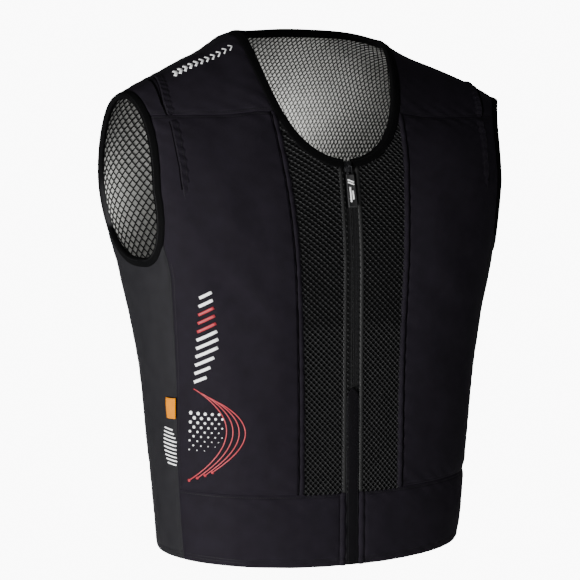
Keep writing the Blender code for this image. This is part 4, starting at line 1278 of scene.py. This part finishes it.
zip_top = float(mesh_top[0])
tape_share = shares((0.12, 4), (1.0, 10))
level = zip_top * np.linspace(0, 1, 141)[:, None] + 0 * tape_share
x = TAPE_GAP / 2 + tape_share * TAPE_WIDTH
for word, side in SIDES.items():
    lip = TAPE_LIP * np.exp(-((x - TAPE_GAP / 2) / TAPE_LIP_REACH) ** 2)
    tape = cloth("tape_" + word, turn_at(x, level), level, TAPE_BASE + lip + 0 * level, TAPE_THICKNESS,
                 zip_tape, ["zip_tape_" + word], "zip_tape", side)
    stitching("tape_stitching_" + word, [beside(tape, "left", TAPE_STITCH)])

coil_climb = climb_table(0.0)
bm = bmesh.new()
coil_end = np.interp(zip_top, LEVELS, coil_climb) - COIL_MARGIN
for step, run in enumerate(np.arange(COIL_MARGIN, coil_end, COIL_PITCH)):
    level = float(np.interp(run, coil_climb, LEVELS))
    middle = Vector(on_form(0.0, level, COIL_OUT))
    up = Vector(form_normal(0.0, level))
    offset = COIL_WIDTH * COIL_OFFSET_SHARE * (1 if step % 2 else -1)
    across = Vector((1, 0, 0))
    ahead = up.cross(across)
    turned = Matrix((up, ahead, across)).transposed().to_4x4()
    where = Matrix.Translation(middle + across * offset)
    bmesh.ops.create_cone(bm, cap_ends=True, segments=8, radius1=COIL_WIRE / 2, radius2=COIL_WIRE / 2,
                          depth=COIL_WIDTH * COIL_TURN_SHARE, matrix=where @ turned)
add_piece("coil_turns", bm, coil_nylon, ["zip_coil"], smooth_angle=60)

# Slider and pull: a dark plated slider at the top of the zip, a wire link through its bail, and a moulded
# tab on the link with plain white bars. The slider stays with the vest, and the link and tab swing. The
# slider's parts sink into each other by SINK_IN, and stand off the tapes and the coil by CLEARANCE
SLIDER_WIDTH = 0.0090
SLIDER_LENGTH = 0.0120
SLIDER_PLATE = 0.0012
SLIDER_LAP = 0.0065
BAIL_WIDTH = 0.0030
BAIL_WALL = 0.0010
BAIL_EYE = 0.0021
PIVOT_LIFT = 0.0010
LINK_WIRE = 0.0013
LINK_WIDTH = 0.0072
LINK_LENGTH = 0.0140
LINK_BEND = 0.00156
TAB_WIDTH = 0.0120
TAB_LENGTH = 0.0380
TAB_THICKNESS = 0.0025
TAB_LAP = 0.0030
CLEARANCE = 0.0003
SINK_IN = 0.0004
SLIDER_ROUND = 0.0005
SLIDER_NECK_INSET = 0.0020
RAIL_IN = 0.0005
RAIL_OUT = 0.0003
RAIL_HEIGHT = 0.0012
RAIL_FOOT_GAP = 0.0010
RAIL_TOP_GAP = 0.0040
RAIL_ROUND = 0.0002
BAIL_SINK = 0.0002
# The tab is widest near its middle: its ends are a share of the width, and its swell adds the rest
TAB_END_SHARE = 0.72
TAB_SWELL = 0.28
TAB_BAR_DEEP = 0.0005
TAB_BAR_PROUD = 0.0002
TAB_BAR_SLANT = 22
TAB_ROUND = 0.0009
TAB_RIM = 0.0012
TAB_FACE_SINK = 0.0004
plated, shader, grain = grained_material(
    "plated_metal", 700.0, (0.012, 0.012, 0.013), (0.045, 0.045, 0.048), 0.5)
shader.inputs["Metallic"].default_value = 0.9
tree = plated.node_tree
rough = tree.nodes.new("ShaderNodeMapRange")
rough.inputs["To Min"].default_value = 0.28
rough.inputs["To Max"].default_value = 0.50
tree.links.new(grain.outputs["Fac"], rough.inputs["Value"])
tree.links.new(rough.outputs["Result"], shader.inputs["Roughness"])

seat = form_point(0.0, zip_top)
outward = form_normal(0.0, zip_top)
lean = math.atan2(outward[2], -outward[1])
stand = Matrix.Translation(Vector(seat)) @ Matrix.Rotation(-lean, 4, "X")
TAPE_TOP = TAPE_BASE + TAPE_THICKNESS
plate_out = TAPE_TOP + CLEARANCE
plate_face = plate_out + SLIDER_PLATE
plate_in = COIL_OUT - COIL_WIRE / 2 - CLEARANCE
slider_top = SLIDER_LENGTH - SLIDER_LAP
pivot_out = plate_face + PIVOT_LIFT + BAIL_EYE / 2


def block(bm, low, high, round_off, segments=3):
    """A bevelled block between two corners."""
    low, high = Vector(low), Vector(high)
    size = Matrix.Diagonal((*(high - low), 1))
    made = bmesh.ops.create_cube(bm, size=1.0, matrix=Matrix.Translation((low + high) / 2) @ size)["verts"]
    edges = {edge for vert in made for edge in vert.link_edges}
    bmesh.ops.bevel(bm, geom=list(edges), offset=round_off, segments=segments, affect="EDGES",
                    profile=0.5, material=-1)


half_slider = SLIDER_WIDTH / 2
bm = bmesh.new()
for near, far in ((-plate_face, -plate_out), (-plate_in, -plate_in + SLIDER_PLATE)):
    block(bm, (-half_slider, near, -SLIDER_LAP), (half_slider, far, slider_top), SLIDER_ROUND)
half_neck = half_slider - SLIDER_NECK_INSET
block(bm, (-half_neck, -plate_out - SINK_IN, CLEARANCE), (half_neck, -plate_in + SINK_IN, slider_top), 0.0004)
for edge in (-half_slider, half_slider):
    block(bm, (edge - RAIL_IN, -plate_out, -SLIDER_LAP + RAIL_FOOT_GAP),
          (edge + RAIL_OUT, -plate_out + RAIL_HEIGHT, slider_top - RAIL_TOP_GAP), RAIL_ROUND)
bail_reach = (BAIL_EYE + BAIL_WALL) / 2
bail = [(0, -plate_face + SINK_IN, -bail_reach)]
for angle in np.radians(np.linspace(-90, 90, 13)):
    bail.append((0, -pivot_out + BAIL_SINK - bail_reach * math.cos(angle), bail_reach * math.sin(angle)))
bail.append((0, -plate_face + SINK_IN, bail_reach))
before = set(bm.verts)
rod(bm, bail, BAIL_WALL / 2, 10)
fresh = [vert for vert in bm.verts if vert not in before]
bmesh.ops.scale(bm, vec=(BAIL_WIDTH / BAIL_WALL, 1, 1), verts=fresh)
bmesh.ops.recalc_face_normals(bm, faces=bm.faces)
bmesh.ops.transform(bm, matrix=stand, verts=bm.verts)
add_piece("slider_body", bm, plated, ["zip_slider"], smooth_angle=35)

pivot = stand @ Matrix.Translation((0, -pivot_out, 0))
half_link = (LINK_WIDTH - LINK_WIRE) / 2
link_foot = -LINK_LENGTH + LINK_WIRE
corners = [
    (half_link - LINK_BEND, -LINK_BEND, 0), (-half_link + LINK_BEND, -LINK_BEND, 90),
    (-half_link + LINK_BEND, link_foot + LINK_BEND, 180), (half_link - LINK_BEND, link_foot + LINK_BEND, 270),
]
path = []
for x, z, first_angle in corners:
    for step in range(7):
        angle = math.radians(first_angle + 15 * step)
        path.append((x + LINK_BEND * math.cos(angle), 0, z + LINK_BEND * math.sin(angle)))
bm = bmesh.new()
rod(bm, path, LINK_WIRE / 2, 12, closed=True)
bmesh.ops.recalc_face_normals(bm, faces=bm.faces)
bmesh.ops.transform(bm, matrix=pivot, verts=bm.verts)
add_piece("link_wire", bm, plated, ["pull_link"], body="pull", smooth_angle=60)

rubber, shader, grain = grained_material(
    "moulded_rubber", 1500.0, (0.0015, 0.0015, 0.0017), (0.0050, 0.0050, 0.0053), 0.55)
grain.inputs["Detail"].default_value = 4.0
tree = rubber.node_tree
bump = tree.nodes.new("ShaderNodeBump")
bump.inputs["Strength"].default_value = 0.3
bump.inputs["Distance"].default_value = 0.0002
tree.links.new(grain.outputs["Fac"], bump.inputs["Height"])
tree.links.new(bump.outputs["Normal"], shader.inputs["Normal"])

tab_top = link_foot + TAB_LAP
bm = bmesh.new()
tab_foot = tab_top - TAB_LENGTH
block(bm, (-TAB_WIDTH / 2, -TAB_THICKNESS / 2, tab_foot), (TAB_WIDTH / 2, TAB_THICKNESS / 2, tab_top),
      TAB_ROUND, 4)
for vert in bm.verts:
    share = (vert.co.z - tab_foot) / TAB_LENGTH
    vert.co.x *= TAB_END_SHARE + TAB_SWELL * math.sin(math.pi * min(1.0, 0.15 + share * 0.8)) ** 0.5
faces = [face for face in bm.faces if face.normal.y < -0.9 and face.calc_area() > 1e-4]
bmesh.ops.inset_individual(bm, faces=faces, thickness=TAB_RIM)
sunk = {vert for face in faces for vert in face.verts}
bmesh.ops.translate(bm, verts=list(sunk), vec=(0, TAB_FACE_SINK, 0))
bmesh.ops.transform(bm, matrix=pivot, verts=bm.verts)
add_piece("tab_moulding", bm, rubber, ["pull_tab"], body="pull", smooth_angle=40)

ink_white = cloth_material("ink_white", (0.80, 0.80, 0.80), (1.0, 1.0, 1.0), 1400, 0.0001, 0.5, 0.4)
ink_red = cloth_material("ink_red", (0.25, 0.012, 0.019), (0.40, 0.028, 0.038), 1400, 0.0001, 0.5, 0.4)
face_out = -TAB_THICKNESS / 2 + TAB_FACE_SINK


def tab_bar(left, right, low, high, round_off):
    """A raised bar on the tab's face, with its low and high edges given as distances below the tab's top."""
    before = set(bm.verts)
    block(bm, (left, face_out - TAB_BAR_DEEP, tab_top - low),
          (right, face_out + TAB_BAR_PROUD, tab_top - high), round_off, 2)
    return [vert for vert in bm.verts if vert not in before]


bm = bmesh.new()
bm.loops.layers.uv.new("cloth")
for drop in (0.0078, 0.0106):
    fresh = tab_bar(-0.0040, 0.0040, drop + 0.0007, drop - 0.0007, 0.0002)
    slant = Matrix.Rotation(math.radians(TAB_BAR_SLANT), 3, "Y")
    bmesh.ops.rotate(bm, cent=(0, 0, tab_top - drop), matrix=slant, verts=fresh)
tab_bar(-0.0024, -0.0006, 0.0320, 0.0148, 0.0003)
tab_bar(0.0007, 0.0024, 0.0290, 0.0190, 0.0003)
bmesh.ops.transform(bm, matrix=pivot, verts=bm.verts)
add_piece("tab_bars", bm, ink_white, body="pull", smooth_angle=40)

# Placket: a softshell strip over the lower zip, cut to a point at its top and piped down its right edge
PLACKET_WIDTH = 0.0158
PLACKET_TOP_LEVEL = 0.610
PLACKET_POINT = 0.010
PLACKET_POINT_BEND = 1.5
PLACKET_PUFF = 0.0010
PLACKET_RUMPLE = 0.0003
PIPING = 0.0016
placket_share = shares((1.0, 12))
placket_x = (placket_share - 0.5) * PLACKET_WIDTH
point_levels = PLACKET_POINT / np.linalg.norm(form_slopes(0.0, PLACKET_TOP_LEVEL)[1])
placket_top = PLACKET_TOP_LEVEL - point_levels * np.abs(2 * placket_share - 1) ** PLACKET_POINT_BEND
level = placket_top * np.linspace(0, 1, 61)[:, None]
turn = turn_at(placket_x, level) * np.where(placket_x < 0, -1, 1)
near = PLACKET_WIDTH / 2 - np.abs(placket_x)
out = SHELL_BASE + PLACKET_PUFF * (1 - np.exp(-near / 0.002))
out = out + PLACKET_RUMPLE * np.sin(level * 40) * (near > 0.001)
# A darker copy of the softshell: the placket's darker tone is painted shade
placket_shaded_softshell = cloth_material(
    "placket_shaded_softshell", (0.0012, 0.0010, 0.0014), (0.0031, 0.0026, 0.0038), 1400, 0.0002, 0.80, 0.08)
placket = cloth("placket_strip", turn, level, out, SHELL_WALL, placket_shaded_softshell, ["placket"], "softshell")
stitching("placket_stitching", [beside(placket, "left", 0.0030), beside(placket, "right", 0.0022)])
points, normals = beside(placket, "left", 0.0004)
piping("placket_piping", points - normals * PIPING / 4, PIPING, 8, side_softshell)

# Woven tab: a folded orange ribbon sewn into the right side seam, lying back over the side panel
LABEL_WIDTH = 0.0130
LABEL_HEIGHT = 0.0240
LABEL_LEVEL = 0.537
LABEL_OUT = 0.0066
LABEL_DOME = 0.0016
LABEL_CURL = 0.0006
LABEL_WALL = 0.0010
ribbon = cloth_material("ribbon", (0.42, 0.125, 0.0002), (0.60, 0.205, 0.0006), 900, 0.0004, 0.7, 0.04)
label_slopes = form_slopes(side_seam(LABEL_LEVEL), LABEL_LEVEL)
side_slope, level_slope = (np.linalg.norm(slope) for slope in label_slopes)
label_share = shares((1.0, 16))
level = LABEL_LEVEL + (np.linspace(0, 1, 25)[:, None] - 0.5) * LABEL_HEIGHT / level_slope + 0 * label_share
turn = side_seam(level) + LABEL_WIDTH / side_slope * label_share
out = LABEL_OUT + LABEL_DOME * np.sin(np.pi * label_share) ** 0.7
out = out + LABEL_CURL * label_share * np.sin(level * 60)
label = cloth("label_ribbon", turn, level, out, LABEL_WALL, ribbon, ["label_tab"], "label", SIDES["right"])

# Print: raised ink in white and red. Slanted bars and a field of dots stand on the right front with flowing
# lines through them, short lines on the right side, and a row of chevrons on the right shoulder
INK = 0.00030
INK_LIFT = -0.00008
# The front print: the outer edge of its bars and lines, and of its dots. Each has a top, a step from one to
# the next and a width or a size
PRINT_EDGE = 0.171
BARS_TOP = -0.286
BAR_STEP = 0.0098
BAR_SLANT = 0.62
BAR_WIDTH = 0.0034
RED_BARS = (2, 3, 4)
LINES_TOP = -0.392
LINE_STEP = 0.0060
LINE_BOW = 0.030
LINE_LENGTH = 0.108
LINE_WIDTH = 0.0012
LINE_END = 0.0018
DOTS_TOP = -0.420
DOTS_EDGE = 0.172
DOT_STEP = 0.0060
DOT_ROW_STEP = 0.0054
LARGEST_DOT = 0.0022
SMALLEST_DOT = 0.0004
# The side print: its middle turn, its top level, and how far its lines slant
SIDE_PRINT_TURN = 0.398
SIDE_PRINT_LEVEL = 0.462
SIDE_PRINT_STEP = 0.0138
SIDE_PRINT_SLANT = 0.25
SIDE_PRINT_WIDTH = 0.0016
# The shoulder print: its length, and the turns and levels of its two ends
SHOULDER_PRINT_LENGTH = 0.090
SHOULDER_PRINT_TURNS = (0.236, 0.132)
SHOULDER_PRINT_LEVELS = (1.905, 1.872)
CHEVRON_ARM = 0.0042
CHEVRON_START = 0.006
CHEVRON_STEP = 0.0078
CHEVRON_WIDTH = 0.0032


def front_place(x, height):
    """Turn and level of the front below the chest, from metres off the middle and a height."""
    level = (height + HEM_DROP) / (HEM_DROP - CHEST_DROP)
    return turn_at(x, level), level


def shoulder_place(inward, rise):
    """Turn and level on the front of the shoulder, from metres inward of the print's outer end and up."""
    share = np.asarray(inward) / SHOULDER_PRINT_LENGTH
    turn, level = (
        ends[0] + (ends[1] - ends[0]) * share for ends in (SHOULDER_PRINT_TURNS, SHOULDER_PRINT_LEVELS)
    )
    return turn, level + rise / np.linalg.norm(form_slopes(turn, level)[1], axis=-1)


def stroke(bm, panel, turn, level, width):
    """A line of ink on a panel, along a path, of one width or of a width at each point."""
    uv = bm.loops.layers.uv.verify()
    width = np.broadcast_to(width, turn.shape)[:, None]
    strips = []
    for share in (-0.5, 0.0, 0.5):
        point, normal = places_on(panel, *shifted(turn, level, share * width))
        strips.append(point + normal * INK_LIFT)
    points = np.stack(strips)
    made = bmesh.ops.create_grid(bm, x_segments=len(turn) - 1, y_segments=2, size=1.0)["verts"]
    for vert in made:
        column = round((vert.co.x + 1) / 2 * (len(turn) - 1))
        row = round(vert.co.y + 1)
        vert.co = points[row, column]
        for loop in vert.link_loops:
            loop[uv].uv = (column * 0.002, row * 0.0007)


def dot(bm, panel, turn, level, radius):
    """A round spot of ink on a panel."""
    uv = bm.loops.layers.uv.verify()
    point, normal = (Vector(found) for found in places_on(panel, np.asarray(turn), np.asarray(level)))
    turned = normal.to_track_quat("Z", "Y").to_matrix().to_4x4()
    where = Matrix.Translation(point + normal * INK_LIFT)
    made = bmesh.ops.create_circle(
        bm, cap_ends=True, segments=14, radius=radius, matrix=where @ turned)["verts"]
    for vert in made:
        for loop in vert.link_loops:
            loop[uv].uv = (loop.vert.co.x, loop.vert.co.z)


def ink(name, bm, material, panel):
    """A finished print, with its thickness."""
    bm.normal_update()
    outward = Vector(panel["normal"].mean(axis=(0, 1)))
    bmesh.ops.reverse_faces(bm, faces=[face for face in bm.faces if face.normal.dot(outward) < 0])
    thicken(add_piece(name, bm, material), INK)


front = front_panels["right"]
white, red = bmesh.new(), bmesh.new()
for step in range(11):
    height = BARS_TOP - BAR_STEP * step
    reach = 0.011 + 0.0014 * step if step < 7 else 0.0194 - 0.0030 * (step - 7)
    x = np.linspace(PRINT_EDGE, PRINT_EDGE - reach, 8)
    paint = red if step in RED_BARS else white
    stroke(paint, front, *front_place(x, height + BAR_SLANT * (PRINT_EDGE - x)), BAR_WIDTH)
for lane in range(4):
    share = np.linspace(0, 1, 60)
    x = PRINT_EDGE - LINE_STEP * lane - LINE_BOW * np.sin(math.pi * share ** 0.85)
    height = LINES_TOP - 0.0040 * lane - (LINE_LENGTH - 0.0080 * lane) * share
    stroke(red, front, *front_place(x, height), LINE_WIDTH)
    dot(red, front, *front_place(x[-1], height[-1]), LINE_END)
for row in range(9):
    for column in range(5):
        size = LARGEST_DOT - 0.00017 * row - 0.00018 * column
        x = DOTS_EDGE - DOT_STEP * column - DOT_STEP / 2 * (row % 2)
        if size > SMALLEST_DOT:
            dot(white, front, *front_place(x, DOTS_TOP - DOT_ROW_STEP * row), size)
ink("front_print_white", white, ink_white, front)
ink("front_print_red", red, ink_red, front)

flank_panel = side_panels["right"]
white = bmesh.new()
for step in range(10):
    half = 0.011 + 0.012 * math.sin(math.pi * (step + 1) / 11)
    aside = np.linspace(-half, half, 10)
    level = SIDE_PRINT_LEVEL - SIDE_PRINT_STEP * step + SIDE_PRINT_SLANT * aside
    stroke(white, flank_panel, SIDE_PRINT_TURN + aside, level, SIDE_PRINT_WIDTH)
ink("side_print", white, ink_white, flank_panel)

yoke = yokes["right"]
white = bmesh.new()
for step in range(11):
    tip = CHEVRON_START + CHEVRON_STEP * step
    for rise in (-CHEVRON_ARM, CHEVRON_ARM):
        along = np.linspace(0, 1, 5)
        path = shoulder_place(tip - CHEVRON_ARM * along, rise * along)
        stroke(white, yoke, *path, CHEVRON_WIDTH - 0.00021 * step)
ink("shoulder_print", white, ink_white, yoke)
